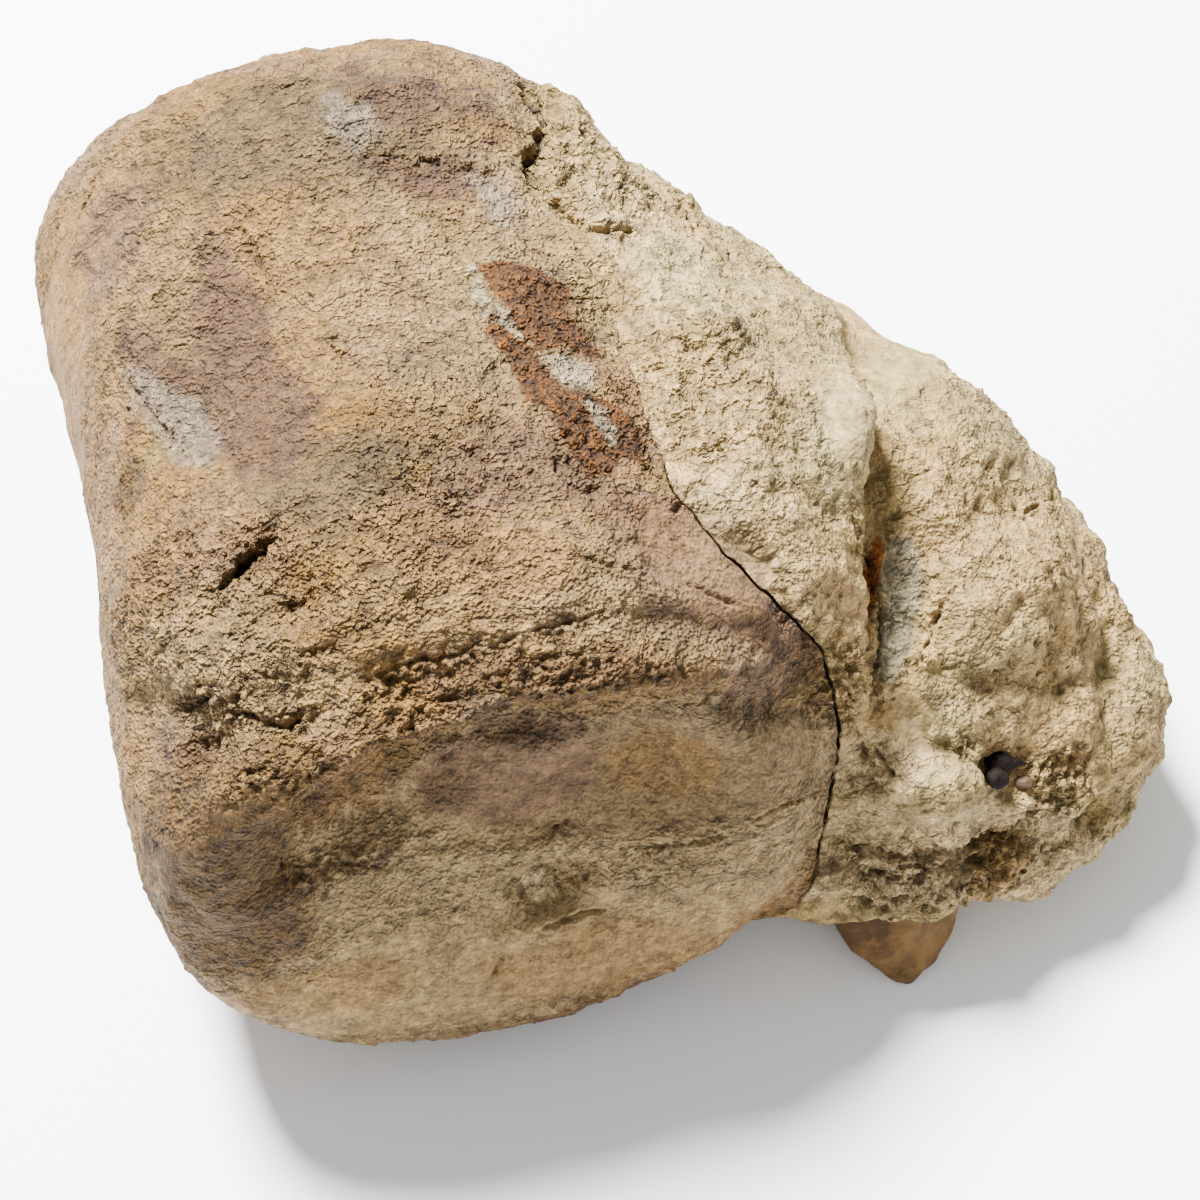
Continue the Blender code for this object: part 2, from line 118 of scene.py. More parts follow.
def removeObject(obj):
    mesh = obj.data
    bpy.data.objects.remove(obj)
    bpy.data.meshes.remove(mesh)


def pointsOf(mesh):
    flat = np.empty(len(mesh.vertices) * 3, np.float32)
    mesh.vertices.foreach_get("co", flat)
    return flat.reshape(-1, 3).astype(float) / mm


def normalsOf(mesh):
    flat = np.empty(len(mesh.vertices) * 3, np.float32)
    mesh.vertices.foreach_get("normal", flat)
    return flat.reshape(-1, 3).astype(float)


def putPoints(mesh, points):
    mesh.vertices.foreach_set("co", (points * mm).astype(np.float32).ravel())
    mesh.update()


def ease(t):
    t = np.clip(t, 0, 1)
    return t * t * (3 - 2 * t)


# bone and rock as one skin, so that both carry the same surface across the break
skinSetup = {"voxel": 1.9, "weld": 0.01, "closeUp": 3.0, "breakReach": 1.9, "smoothing": 7}


def mergedCopy(node):
    bm = bmesh.new()
    bm.from_mesh(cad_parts[node].data)
    bmesh.ops.remove_doubles(bm, verts=bm.verts, dist=skinSetup["weld"] * mm)
    return bm


def makeSkin():
    bone = mergedCopy("vertebra")
    rock = mergedCopy("matrix")
    boneTree = BVHTree.FromBMesh(bone)
    for vert in rock.verts:
        place, _, _, gap = boneTree.find_nearest(vert.co)
        if gap < skinSetup["breakReach"] * mm:
            vert.co.x -= skinSetup["closeUp"] * mm
    both = meshObject("skin", bone)
    rockMesh = bpy.data.meshes.new("rock copy")
    rock.to_mesh(rockMesh)
    rock.free()
    joined = bmesh.new()
    joined.from_mesh(both.data)
    joined.from_mesh(rockMesh)
    joined.to_mesh(both.data)
    joined.free()
    bpy.data.meshes.remove(rockMesh)
    remesh = both.modifiers.new("one skin", "REMESH")
    remesh.mode = "VOXEL"
    remesh.voxel_size = skinSetup["voxel"] * mm
    soften = both.modifiers.new("soften", "SMOOTH")
    soften.iterations = skinSetup["smoothing"]
    soften.factor = 0.5
    bakeModifiers(both)
    return both


skin = makeSkin()
print("skin", len(skin.data.vertices), "points")
skinTree = BVHTree.FromObject(skin, bpy.context.evaluated_depsgraph_get())


# a mark is named by its pixel in the 1200 by 1200 photograph and lands on the skin behind that pixel; one
# that misses the skin is drawn in step by step
inwards = {"towards": (600, 560), "step": 0.02}
leastForeshortening = 0.45


def spot(u, v):
    place, normal, _, _ = skinTree.ray_cast(viewEye, pixelRay(u, v))
    if place is None:
        (aimU, aimV), step = inwards["towards"], inwards["step"]
        return spot(u + (aimU - u) * step, v + (aimV - v) * step)
    return np.array(place) / mm, np.array(normal)


def spots(pixels):
    return np.array([spot(*pixel)[0] for pixel in pixels])


def patchFrame(u, v, across, along, turn=0.0):
    centre, normal = spot(u, v)
    angle = math.radians(turn)
    pictureX = np.array(viewRight * math.cos(angle) + viewUp * math.sin(angle))
    sideways = pictureX - normal * (pictureX @ normal)
    foreshortX = max(leastForeshortening, float(np.linalg.norm(sideways)))
    sideways /= np.linalg.norm(sideways)
    upwards = np.cross(normal, sideways)
    pictureY = np.array(-viewRight * math.sin(angle) + viewUp * math.cos(angle))
    foreshortY = max(leastForeshortening, abs(float(upwards @ pictureY)))
    radiusX = across * mmPerPixel / foreshortX
    radiusY = along * mmPerPixel / foreshortY
    return centre, np.stack([sideways / radiusX, upwards / radiusY, normal / max(radiusX, radiusY)])


# how far each point is from the middle of a patch, in radii
def awayFrom(points, patch):
    centre, axes = patchFrame(*patch)
    return np.linalg.norm((points - centre) @ axes.T, axis=1)


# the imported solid's groove at the rim and its valley in the rock are too deep, and are levelled before the
# marks; a patch is its picture centre, radii in pixels across and up the picture, and turn in degrees if any
levelPatches = [(246, 698, 104, 46, 8), (430, 668, 120, 26, 14), (560, 640, 80, 24, 12), (878, 600, 24, 90)]
levelSetup = {"rounds": 60, "factor": 0.5}


def levelHollows():
    points = pointsOf(skin.data)
    away = np.min([awayFrom(points, patch) for patch in levelPatches], axis=0)
    bm = bmesh.new()
    bm.from_mesh(skin.data)
    bm.verts.ensure_lookup_table()
    inside = [bm.verts[i] for i in np.nonzero(away < 1)[0]]
    for _ in range(levelSetup["rounds"]):
        bmesh.ops.smooth_vert(bm, verts=inside, factor=levelSetup["factor"], use_axis_x=True, use_axis_y=True,
                              use_axis_z=True)
    bm.to_mesh(skin.data)
    bm.free()


levelHollows()
skinTree = BVHTree.FromObject(skin, bpy.context.evaluated_depsgraph_get())


# the points within reach of a path: which they are, and where along it the nearest place lies
def nearPath(points, path, reach):
    low, high = path.min(axis=0) - reach, path.max(axis=0) + reach
    here = np.nonzero(((points > low) & (points < high)).all(axis=1))[0]
    close = points[here]
    nearest, best = np.zeros_like(close), np.full(len(here), np.inf)
    travelled, runSoFar = np.zeros(len(here)), 0.0
    for start, end in zip(path, path[1:]):
        run = end - start
        length = np.linalg.norm(run)
        if length == 0:
            continue
        share = np.clip((close - start) @ run / length**2, 0, 1)
        there = start + share[:, None] * run
        distance = np.linalg.norm(close - there, axis=1)
        closer = distance < best
        nearest[closer], best[closer] = there[closer], distance[closer]
        travelled[closer] = runSoFar + share[closer] * length
        runSoFar += length
    kept = best < reach
    return here[kept], nearest[kept], best[kept], travelled[kept], runSoFar


# a given line gets small wobbles, as a crack has; all in pixels
wobbleSetup = {"spacing": 5, "size": 9, "reach": 2.2}
noise.seed_set(1)


def crackPath(pixels, seed):
    dense = []
    for (u0, v0), (u1, v1) in zip(pixels, pixels[1:]):
        steps = max(1, int(math.hypot(u1 - u0, v1 - v0) / wobbleSetup["spacing"]))
        for i in range(steps):
            t = i / steps
            u, v = u0 + (u1 - u0) * t, v0 + (v1 - v0) * t
            shift = noise.noise_vector(Vector((u / wobbleSetup["size"], v / wobbleSetup["size"], seed)))
            dense.append((u + shift.x * wobbleSetup["reach"], v + shift.y * wobbleSetup["reach"]))
    dense.append(pixels[-1])
    return spots(dense)


# cracks: pixels along the crack, width and depth in mm
cracks = {
    "far end cross crack": ([(366, 152), (410, 156), (444, 163), (462, 166), (490, 175)], 1.3, 2.2),
    "edge of the grey patch": ([(346, 86), (360, 100), (370, 128), (378, 151)], 1.1, 1.2),
    "hooked crack": ([(330, 192), (313, 197), (314, 209), (332, 217), (351, 225), (354, 247)], 1.1, 1.2),
    "crevice": ([(526, 84), (534, 104), (544, 120), (541, 140), (529, 160), (530, 178),
        (540, 195)], 3.6, 5.0),
    "crevice foot": ([(540, 195), (558, 210), (576, 222), (592, 233), (612, 230), (637, 231)], 1.8, 2.6),
    "far lump joint": ([(566, 92), (585, 110), (583, 132), (592, 150)], 1.6, 2.0),
    "far rock joint": ([(672, 190), (684, 210), (697, 236), (712, 246)], 1.6, 2.2),
    "far rock crack": ([(722, 240), (730, 252), (738, 268)], 1.3, 1.8),
    "gash": ([(220, 588), (233, 575), (246, 565), (256, 552), (266, 544), (276, 536)], 3.6, 5.0),
    "second gash": ([(277, 616), (290, 606), (300, 601), (310, 596)], 2.6, 3.2),
    "third gash": ([(214, 637), (230, 632), (244, 630), (260, 622)], 1.5, 1.8),
    "slit above": ([(184, 548), (190, 536), (187, 526)], 2.0, 2.4),
    "short slit": ([(299, 650), (305, 660)], 2.0, 2.6),
    "ledge hole left": ([(178, 712), (194, 706), (206, 701), (214, 692)], 2.4, 2.6),
    "ledge lip": ([(222, 713), (250, 716), (268, 724), (288, 727), (298, 718), (306, 710)], 1.8, 2.0),
    "ledge hole": ([(278, 727), (292, 723)], 3.0, 3.4),
    "rough hole": ([(208, 760), (216, 747), (222, 742)], 2.4, 2.4),
    "rough hole two": ([(236, 776), (246, 771), (262, 770)], 2.2, 2.0),
    "rough hole three": ([(306, 756), (318, 751)], 2.2, 2.2),
    "right ledge": ([(375, 676), (388, 671), (403, 664), (420, 661), (438, 659), (460, 655), (474, 646),
        (486, 638)], 1.2, 1.2),
    "right ledge end": ([(496, 645), (520, 634), (545, 628), (575, 622), (600, 612), (618, 606)], 1.0, 0.9),
    "right ledge pit": ([(382, 690), (392, 680), (404, 684)], 2.4, 2.2),
    "right ledge hollow": ([(424, 700), (438, 703), (450, 700)], 2.0, 1.8),
    "bevel crack": ([(398, 746), (406, 738), (412, 729), (420, 722)], 2.0, 2.6),
    "bevel slit": ([(556, 684), (566, 684), (572, 680)], 2.0, 2.0),
    "bench crack": ([(580, 556), (606, 565), (638, 570)], 1.2, 1.2),
    "bench crack two": ([(684, 583), (704, 590), (721, 598), (741, 607)], 1.2, 1.2),
    "rust foot crack": ([(561, 452), (556, 470), (572, 482), (588, 491), (606, 480)], 1.4, 1.8),
    "rust side crack": ([(440, 500), (470, 492), (500, 480), (530, 474), (548, 466)], 1.1, 1.2),
    "rust lower crack": ([(617, 483), (625, 498), (638, 512), (655, 518)], 1.4, 1.6),
    "top crack": ([(644, 464), (656, 474), (669, 487), (684, 503)], 1.3, 1.6),
    "top spur crack": ([(700, 478), (690, 490), (682, 504), (674, 512)], 1.1, 1.2),
    "left top crack": ([(408, 482), (430, 484), (452, 478), (476, 480)], 1.0, 1.0),
    "ochre crack": ([(330, 344), (344, 356), (356, 366), (368, 372), (372, 384)], 1.2, 1.3),
    "purple edge crack": ([(118, 362), (128, 384), (142, 402), (160, 424), (178, 446)], 1.5, 1.8),
    "stripe crack": ([(240, 226), (252, 246), (262, 270), (276, 296)], 1.3, 1.4),
    "left rim crack": ([(96, 176), (90, 194), (80, 214)], 1.2, 1.4),
    "far rim crack": ([(268, 84), (296, 84), (312, 92)], 1.2, 1.2),
    "end face crack": ([(752, 822), (773, 811), (799, 801), (826, 788)], 1.1, 1.2),
    "end face slit": ([(546, 836), (558, 828), (571, 817)], 1.8, 1.8),
    "pocket rim": ([(562, 868), (568, 878), (576, 884), (588, 874), (582, 862)], 1.1, 0.8),
    "under pocket line": ([(540, 931), (558, 922), (576, 916), (606, 909)], 1.4, 1.3),
    "low line": ([(506, 950), (500, 964), (494, 978)], 1.3, 1.2),
    "end face seam": ([(276, 862), (300, 866), (330, 862), (360, 866), (392, 872)], 1.1, 0.7),
    "end face seam two": ([(640, 850), (672, 846), (700, 842), (728, 836)], 1.3, 1.2),
    "fissure top": ([(853, 508), (856, 532), (862, 556), (868, 574)], 1.8, 2.0),
    "fissure": ([(864, 548), (869, 566), (875, 590), (881, 608), (885, 622), (883, 640),
        (880, 656)], 2.2, 3.6),
    "fissure tail": ([(880, 656), (876, 672), (876, 686), (879, 700)], 2.0, 3.0),
    "hollow crack": ([(943, 604), (936, 622), (930, 640), (924, 650)], 1.4, 1.8),
    "sliver crack": ([(968, 740), (975, 748), (983, 757)], 1.2, 1.6),
    "far block crack": ([(973, 457), (980, 462), (988, 467)], 1.2, 1.5),
    "far block crack two": ([(1023, 552), (1036, 560), (1049, 568)], 1.2, 1.6),
    "edge crack": ([(1022, 512), (1040, 504), (1058, 496)], 1.1, 1.2),
    "brow hollow": ([(974, 836), (990, 831), (1010, 829), (1030, 824), (1044, 820)], 2.0, 2.0),
    "brow left": ([(846, 850), (862, 842), (880, 846), (904, 852)], 1.5, 1.6),
    "wall crack": ([(856, 880), (880, 872), (906, 876), (930, 868)], 1.3, 1.4),
    "wall crack two": ([(960, 890), (984, 880), (1006, 884)], 1.3, 1.4),
    "right pit": ([(1056, 846), (1066, 842)], 4.0, 4.0),
    "channel line": ([(872, 742), (880, 756), (890, 768), (902, 780)], 1.6, 2.0),
    "channel line two": ([(846, 700), (856, 716), (862, 738), (868, 760), (880, 772)], 1.5, 1.8),
}

seedStep = 7.3
crackPaths = {name: (crackPath(line, i * seedStep), width, depth)
              for i, (name, (line, width, depth)) in enumerate(cracks.items())}
print("marks placed", len(crackPaths))


# ledges: pixels along the edge, the picture direction it drops towards, drop and reach in mm
ledges = {
    "left corner rim": ([(150, 700), (185, 712), (206, 702), (214, 694), (228, 712), (251, 716), (274, 727),
        (288, 727), (303, 713)], (0, -1), 0.5, 5),
    "band lower edge": ([(352, 700), (366, 722), (384, 736), (402, 748)], (-0.4, -1), 1.0, 7),
    "right rim": ([(377, 677), (403, 665), (420, 662), (460, 656), (480, 641), (505, 640), (545, 628),
        (580, 621), (618, 606), (650, 606), (690, 618), (730, 628)], (0, -1), 0.4, 6),
    "flake above the rim": ([(330, 640), (352, 628), (380, 618), (412, 616), (440, 606)], (0, -1), 1.1, 7),
    "flake by the corner": ([(236, 690), (252, 676), (276, 668), (300, 672), (318, 664)], (0, -1), 0.4, 6),
    "arc": ([(372, 800), (400, 780), (430, 760), (455, 742), (480, 726), (520, 712), (560, 703), (620, 696),
        (700, 690), (760, 692), (812, 700)], (0, -1), 2.2, 12),
    "low light ridge": ([(250, 900), (300, 888), (360, 876), (430, 870), (490, 876), (540, 884), (590, 880),
        (640, 870), (700, 862), (760, 856)], (0, 1), 0.25, 8),
    "purple plate": ([(180, 300), (190, 340), (200, 380), (216, 420), (240, 448),
        (276, 462)], (-1, -0.3), 1.0, 8),
    "purple plate top": ([(196, 276), (220, 262), (250, 262), (270, 282), (288, 320)], (0.4, 1), 0.9, 7),
    "grey patch": ([(366, 110), (376, 130), (380, 150), (410, 158), (444, 165)], (1, -0.2), 0.9, 7),
    "far flake": ([(420, 205), (452, 212), (480, 226), (500, 250)], (0, -1), 1.0, 8),
    "ochre flake": ([(110, 500), (150, 520), (190, 540), (216, 566)], (-0.6, -1), 1.1, 8),
    "rust rim left": ([(472, 262), (494, 296), (500, 330), (510, 360), (526, 398), (550, 410), (565, 442),
        (588, 478)], (-1, -0.3), 1.3, 6),
    "rust rim right": ([(548, 276), (588, 295), (610, 330), (606, 362), (630, 412), (645, 442),
        (643, 466)], (1, 0.2), 1.5, 6),
    "cheek right of the rust": ([(640, 250), (650, 290), (660, 330), (664, 372),
        (676, 410)], (-0.7, -0.6), 1.3, 8),
    "tongue edge": ([(752, 300), (766, 340), (770, 380), (780, 420), (800, 470),
        (826, 500)], (0.9, -0.5), 1.5, 8),
    "rock step one": ([(704, 320), (716, 356), (720, 396), (712, 430)], (-0.8, -0.4), 1.3, 8),
    "rock step two": ([(756, 540), (776, 560), (790, 590), (796, 622), (812, 640)], (-0.8, -0.4), 1.4, 8),
    "left side of the fissure": ([(822, 420), (836, 470), (850, 510), (860, 548),
        (866, 580)], (1, -0.1), 0.8, 8),
    "right side of the fissure": ([(898, 520), (900, 560), (906, 600), (916, 636)], (-1, -0.1), 1.6, 8),
    "shelf above the wall": ([(852, 812), (890, 822), (930, 832), (976, 836), (1010, 830), (1046, 820),
        (1080, 800)], (0, -1), 0.6, 6),
    "shelf two": ([(930, 656), (956, 668), (990, 676), (1020, 668), (1060, 676)], (0, -1), 1.8, 9),
    "shelf three": ([(900, 700), (930, 720), (956, 748), (990, 756), (1030, 744),
        (1070, 752)], (-0.1, -1), 1.8, 9),
    "tip step": ([(1050, 520), (1066, 560), (1072, 600), (1080, 640)], (1, -0.2), 1.6, 9),
    "far block step": ([(900, 404), (936, 424), (966, 456), (1000, 476), (1020, 512)], (0.5, 0.9), 1.8, 9),
    "far rock ledge": ([(560, 96), (590, 120), (612, 160), (650, 186), (690, 196)], (0.4, 1), 1.5, 8),
}

# patches that are worn smooth, and patches that crumble
smoothPatches = [
    (66, 400, 40, 200), (630, 780, 210, 56, 6), (520, 965, 290, 56, 4), (700, 560, 76, 40, -16),
    (845, 425, 26, 54), (880, 330, 50, 60), (914, 720, 26, 40, 30), (480, 790, 90, 40),
]
crumblyPatches = [
    (262, 750, 96, 34, -14), (230, 716, 70, 30), (420, 706, 90, 30, 14), (560, 672, 120, 24, 4),
    (545, 320, 50, 60, -30), (600, 430, 46, 56, -40), (930, 870, 120, 36, 6), (150, 610, 60, 60),
    (600, 170, 60, 60), (330, 560, 120, 60), (700, 380, 60, 90), (430, 420, 70, 90), (840, 700, 30, 60),
    (1060, 790, 40, 40), (250, 660, 80, 30),
]
# lumps and pits: picture centre, radius in pixels, height in mm
lumps = {
    "wall": ((930, 872), 66, 3.0), "wall right": ((1000, 868), 34, 2.6), "small lump": ((825, 629), 13, 1.6),
    "second lump": ((855, 651), 15, 2.0), "stone": ((1001, 807), 9, 1.6),
    "pit by the wall": ((920, 836), 13, -2.6), "knob": ((540, 884), 13, 2.0),
    "knob hollow": ((562, 860), 10, -0.8), "ochre hollow": ((989, 860), 16, -1.2),
    "pore": ((861, 486), 6, -1.4), "pore two": ((756, 487), 5, -1.2), "pore three": ((777, 487), 5, -1.2),
    "pore four": ((718, 442), 6, -1.4), "ledge cavity": ((291, 722), 8, -1.0),
    "corner cavity": ((212, 747), 8, -0.9), "corner cavity two": ((243, 773), 10, -1.3),
    "corner cavity three": ((315, 753), 9, -1.3), "bench pit": ((408, 732), 9, -1.1),
    "dark ochre pit": ((130, 482), 14, -1.6), "valley foot": ((876, 560), 17, 1.2),
    "valley middle": ((880, 604), 18, 1.2), "valley": ((880, 650), 18, 1.2),
    "valley low": ((884, 694), 17, 1.0), "lobe": ((1046, 600), 36, 2.0), "lobe two": ((960, 790), 30, 2.0),
    "lobe three": ((790, 330), 40, 1.5), "lobe four": ((950, 500), 34, 1.6),
    "cream swelling": ((590, 240), 26, 1.4), "low dent": ((140, 660), 26, -1.6),
    "low dent two": ((660, 360), 20, -1.6),
}


def patchList(points, patches, wander):
    share = np.zeros(len(points))
    for patch in patches:
        share = np.maximum(share, ease(1.9 - 1.4 * awayFrom(points, patch) + wander))
    return share


def noiseEach(points, size, seed, octaves=1, stretch=(1, 1, 1)):
    shift = Vector((seed * 3.1, -seed * 1.7, seed * 0.9))
    scaled = points / (np.array(stretch) * size)
    if octaves == 1:
        return np.array([noise.noise(Vector(p) + shift) for p in scaled])
    return np.array([noise.fractal(Vector(p) + shift, 0.9, 2.1, octaves) for p in scaled])


def ridgesEach(points, size, seed, octaves=3):
    shift = Vector((seed * 3.1, -seed * 1.7, seed * 0.9))
    return np.array([noise.ridged_multi_fractal(Vector(p) + shift, 0.9, 2.1, octaves, 1.0, 2.0)
                     for p in points / size]) - 1.1


def stepped(values, sharp):
    whole = np.floor(values)
    return whole + ease((values - whole - 0.5) / sharp + 0.5) - values


def rockShareOf(points):
    return ease((points[:, 0] - breakX(points[:, 1], points[:, 2])) / 5 + 0.5)


# where the bone parts from the rock: level lines of x and y in the CAD part's working place
breakShift = (-1.957, 19.909)
breakLines = {
    -12: [(-60, 260), (-42, 130), (-26, 90), (-12, 40), (-2, 0), (6, -30), (10, -52), (12, -66), (14, -130)],
    8: [(-34, 260), (-20, 132), (-6, 90), (8, 40), (20, 0), (28, -30), (32, -50), (33, -66), (36, -130)],
    26: [(-12, 260), (2, 132), (14, 90), (26, 40), (36, 0), (44, -30), (46, -50), (45, -66), (48, -130)],
    44: [(-8, 260), (8, 134), (20, 90), (30, 40), (42, 0), (49, -30), (51, -48), (50, -62), (52, -130)],
    70: [(-8, 260), (4, 134), (16, 90), (28, 40), (42, 0), (51, -26), (54, -44), (53, -54), (56, -130)],
    98: [(-16, 260), (-8, 124), (2, 76), (16, 34), (32, 0), (42, -22), (49, -42), (54, -52), (57, -130)],
    120: [(-22, 260), (-18, 116), (-13, 70), (1, 44), (10, 8), (16, -16), (31, -35), (46, -52), (54, -130)],
    160: [(-22, 260), (-18, 112), (-13, 66), (0, 40), (9, 4), (15, -19), (31, -38), (46, -54), (54, -130)],
}


def breakX(y, z):
    levels = sorted(breakLines)
    rows = []
    for level in levels:
        line = np.array(breakLines[level][::-1], float)
        rows.append(np.interp(y, line[:, 1] - breakShift[1], line[:, 0] - breakShift[0]))
    rows = np.array(rows)
    place = np.interp(z, levels, range(len(levels)))
    low = np.minimum(place.astype(int), len(levels) - 2)
    share = place - low
    columns = np.arange(len(y))
    return rows[low, columns] * (1 - share) + rows[low + 1, columns] * share


# finer faces where a crack or a crumbled patch needs them: reach round a crack and longest edge, both in mm
refineRounds = [(4.0, 1.3, True), (1.8, 0.65, False)]
refineSetup = {"facing": 0.15, "crumble": 0.4}


def refine(obj):
    bm = bmesh.new()
    bm.from_mesh(obj.data)
    for reach, limit, patchesToo in refineRounds:
        bm.verts.ensure_lookup_table()
        points = np.array([vert.co[:] for vert in bm.verts]) / mm
        near = np.zeros(len(points), bool)
        for path, crackWidth, _ in crackPaths.values():
            near[nearPath(points, path, crackWidth / 2 + reach)[0]] = True
        if patchesToo:
            facing = np.array([vert.normal[:] for vert in bm.verts]) @ np.array(viewBack)
            crumbled = patchList(points, crumblyPatches, 0) > refineSetup["crumble"]
            near |= (facing > refineSetup["facing"]) & crumbled
        edges = [edge for edge in bm.edges
                 if all(near[vert.index] for vert in edge.verts) and edge.calc_length() > limit * mm]
        bmesh.ops.subdivide_edges(bm, edges=edges, cuts=1, use_grid_fill=True, smooth=0)
        bm.verts.index_update()
    bm.to_mesh(obj.data)
    bm.free()


sculptSetup = {"boneWrinkle": 0.8, "rockWrinkle": 0.8, "boneFlake": 0.8, "rockFlake": 0.95, "crumble": 2.0,
               "smooth": 0.35, "fineGrain": 0.42, "boneLump": 0.7, "rockLump": 1.7, "wander": 0.45,
               "rockCrumbs": 0.3, "floorRoom": 0.5, "floorFade": 5}
# noises of the surface: size in mm, seed, octaves
grains = {"wander": (9, 2, 3), "ragged": (2.2, 44, 2), "plates": (24, 3, 4), "scales": (9, 12, 3),
          "crumbs": (5.0, 61, 3), "smallCrumbs": (2.6, 67, 2), "fine": (2.6, 21, 2), "lumps": (17, 30, 2)}
# the noises that are cut into steps: how many, how sharp, how high in mm
grainSteps = {"plates": (4.2, 0.22, 0.9), "scales": (3.0, 0.3, 0.55),
              "crumbs": (2.6, 0.2, 0.8), "smallCrumbs": (1.8, 0.2, 0.5)}
# wrinkles: size in mm, seed, octaves, height in mm
wrinkles = [(11, 5, 3, 0.6), (4.6, 8, 2, 0.45)]
ledgeSetup = {"ragged": 2.4, "wander": 3, "blend": 1.4, "past": 1.15}
lumpSetup = {"edge": 1.35, "ragged": 0.35}
crackSetup = {"reach": 1.5, "room": 2, "vary": (4, 50, 2), "mean": 0.85, "spread": 0.5, "taper": 1.8,
              "blunt": 0.15, "narrow": 0.35, "edge": 1.1, "ragged": 0.3, "profile": 0.6, "fullDepth": 2.2}


def cutLedges(points, height, wander, ragged):
    for line, drop, amountDown, reach in ledges.values():
        here, nearest, distance, _, _ = nearPath(points, spots(line), reach * ledgeSetup["past"])
        down = np.array(viewRight * drop[0] + viewUp * drop[1])
        down /= np.linalg.norm(down)
        ahead = (points[here] - nearest) @ down
        ahead += ragged[here] * ledgeSetup["ragged"] + wander[here] * ledgeSetup["wander"]
        fade = ease(ledgeSetup["past"] - distance / reach)
        height[here] -= amountDown * ease(ahead / ledgeSetup["blend"]) * fade


def raiseLumps(points, height, wander, ragged):
    for (u, v), radius, rise in lumps.values():
        away = np.linalg.norm(points - spot(u, v)[0], axis=1) / (radius * mmPerPixel)
        edge = lumpSetup["edge"] + wander + ragged * lumpSetup["ragged"] * np.sign(-rise)
        height += rise * ease(edge - away)


def cutCracks(points, height, ragged):
    opened = np.zeros(len(points))
    for path, width, depth in crackPaths.values():
        reach = width * crackSetup["reach"] + crackSetup["room"]
        here, nearest, distance, travelled, total = nearPath(points, path, reach)
        vary = crackSetup["mean"] + crackSetup["spread"] * noiseEach(nearest, *crackSetup["vary"])
        fromEnd = np.minimum(travelled, total - travelled) / (crackSetup["taper"] * width)
        ends = np.clip(fromEnd + crackSetup["blunt"], 0, 1)
        half = width / 2 * vary * (crackSetup["narrow"] + (1 - crackSetup["narrow"]) * ends)
        strayed = distance + ragged[here] * crackSetup["ragged"] * width
        inside = np.clip(crackSetup["edge"] - strayed / half, 0, 1)
        height[here] -= depth * ends * inside**crackSetup["profile"] * vary
        # how open and deep each crack is, later painted as near-black shade
        opened[here] = np.maximum(opened[here], inside * ends * min(1.0, depth / crackSetup["fullDepth"]))
    return opened


def sculpt(obj):
    mesh = obj.data
    points, normals = pointsOf(mesh), normalsOf(mesh)
    grain = {name: noiseEach(points, *row) for name, row in grains.items()}
    ragged, wander = grain["ragged"], grain["wander"] * sculptSetup["wander"]
    rock = rockShareOf(points)
    smooth = patchList(points, smoothPatches, wander)
    crumble = patchList(points, crumblyPatches, wander)
    calm = 1 - (1 - sculptSetup["smooth"]) * smooth
    rough = calm * (1 + (sculptSetup["crumble"] - 1) * crumble)
    steps = {name: stepped(grain[name] * count, sharp) * high
             for name, (count, sharp, high) in grainSteps.items()}

    def mixed(kind):
        return sculptSetup["bone" + kind] * (1 - rock) + sculptSetup["rock" + kind] * rock

    wrinkle = sum(ridgesEach(points, size, seed, octaves) * high for size, seed, octaves, high in wrinkles)
    fine = wrinkle * mixed("Wrinkle") * rough
    fine += (steps["plates"] + steps["scales"]) * mixed("Flake") * rough
    crumbShare = np.clip(crumble + sculptSetup["rockCrumbs"] * rock, 0, 1)
    fine += (steps["crumbs"] + steps["smallCrumbs"]) * crumbShare * calm
    fine += grain["fine"] * sculptSetup["fineGrain"] * (0.5 + crumble + rock) * calm
    height = fine + grain["lumps"] * mixed("Lump") * (0.4 + 0.6 * calm)

    cutLedges(points, height, wander, ragged)
    raiseLumps(points, height, wander, ragged)
    opened = cutCracks(points, height, ragged)
    floorFade = ease((points[:, 2] - sculptSetup["floorRoom"]) / sculptSetup["floorFade"])
    points += normals * (height * floorFade)[:, None]
    points[:, 2] = np.maximum(points[:, 2], 0)
    putPoints(mesh, points)
    # hollow: how far each point lies below its surroundings, used for painted shade in hollows and painted
    # light on raised places
    return {"smoothness": smooth, "crumble": crumble, "crackShadeDepth": opened, "hollow": np.clip(-fine, -2, 2)}


refine(skin)
print("refined skin", len(skin.data.vertices), "points")
layers = sculpt(skin)
print("sculpted")


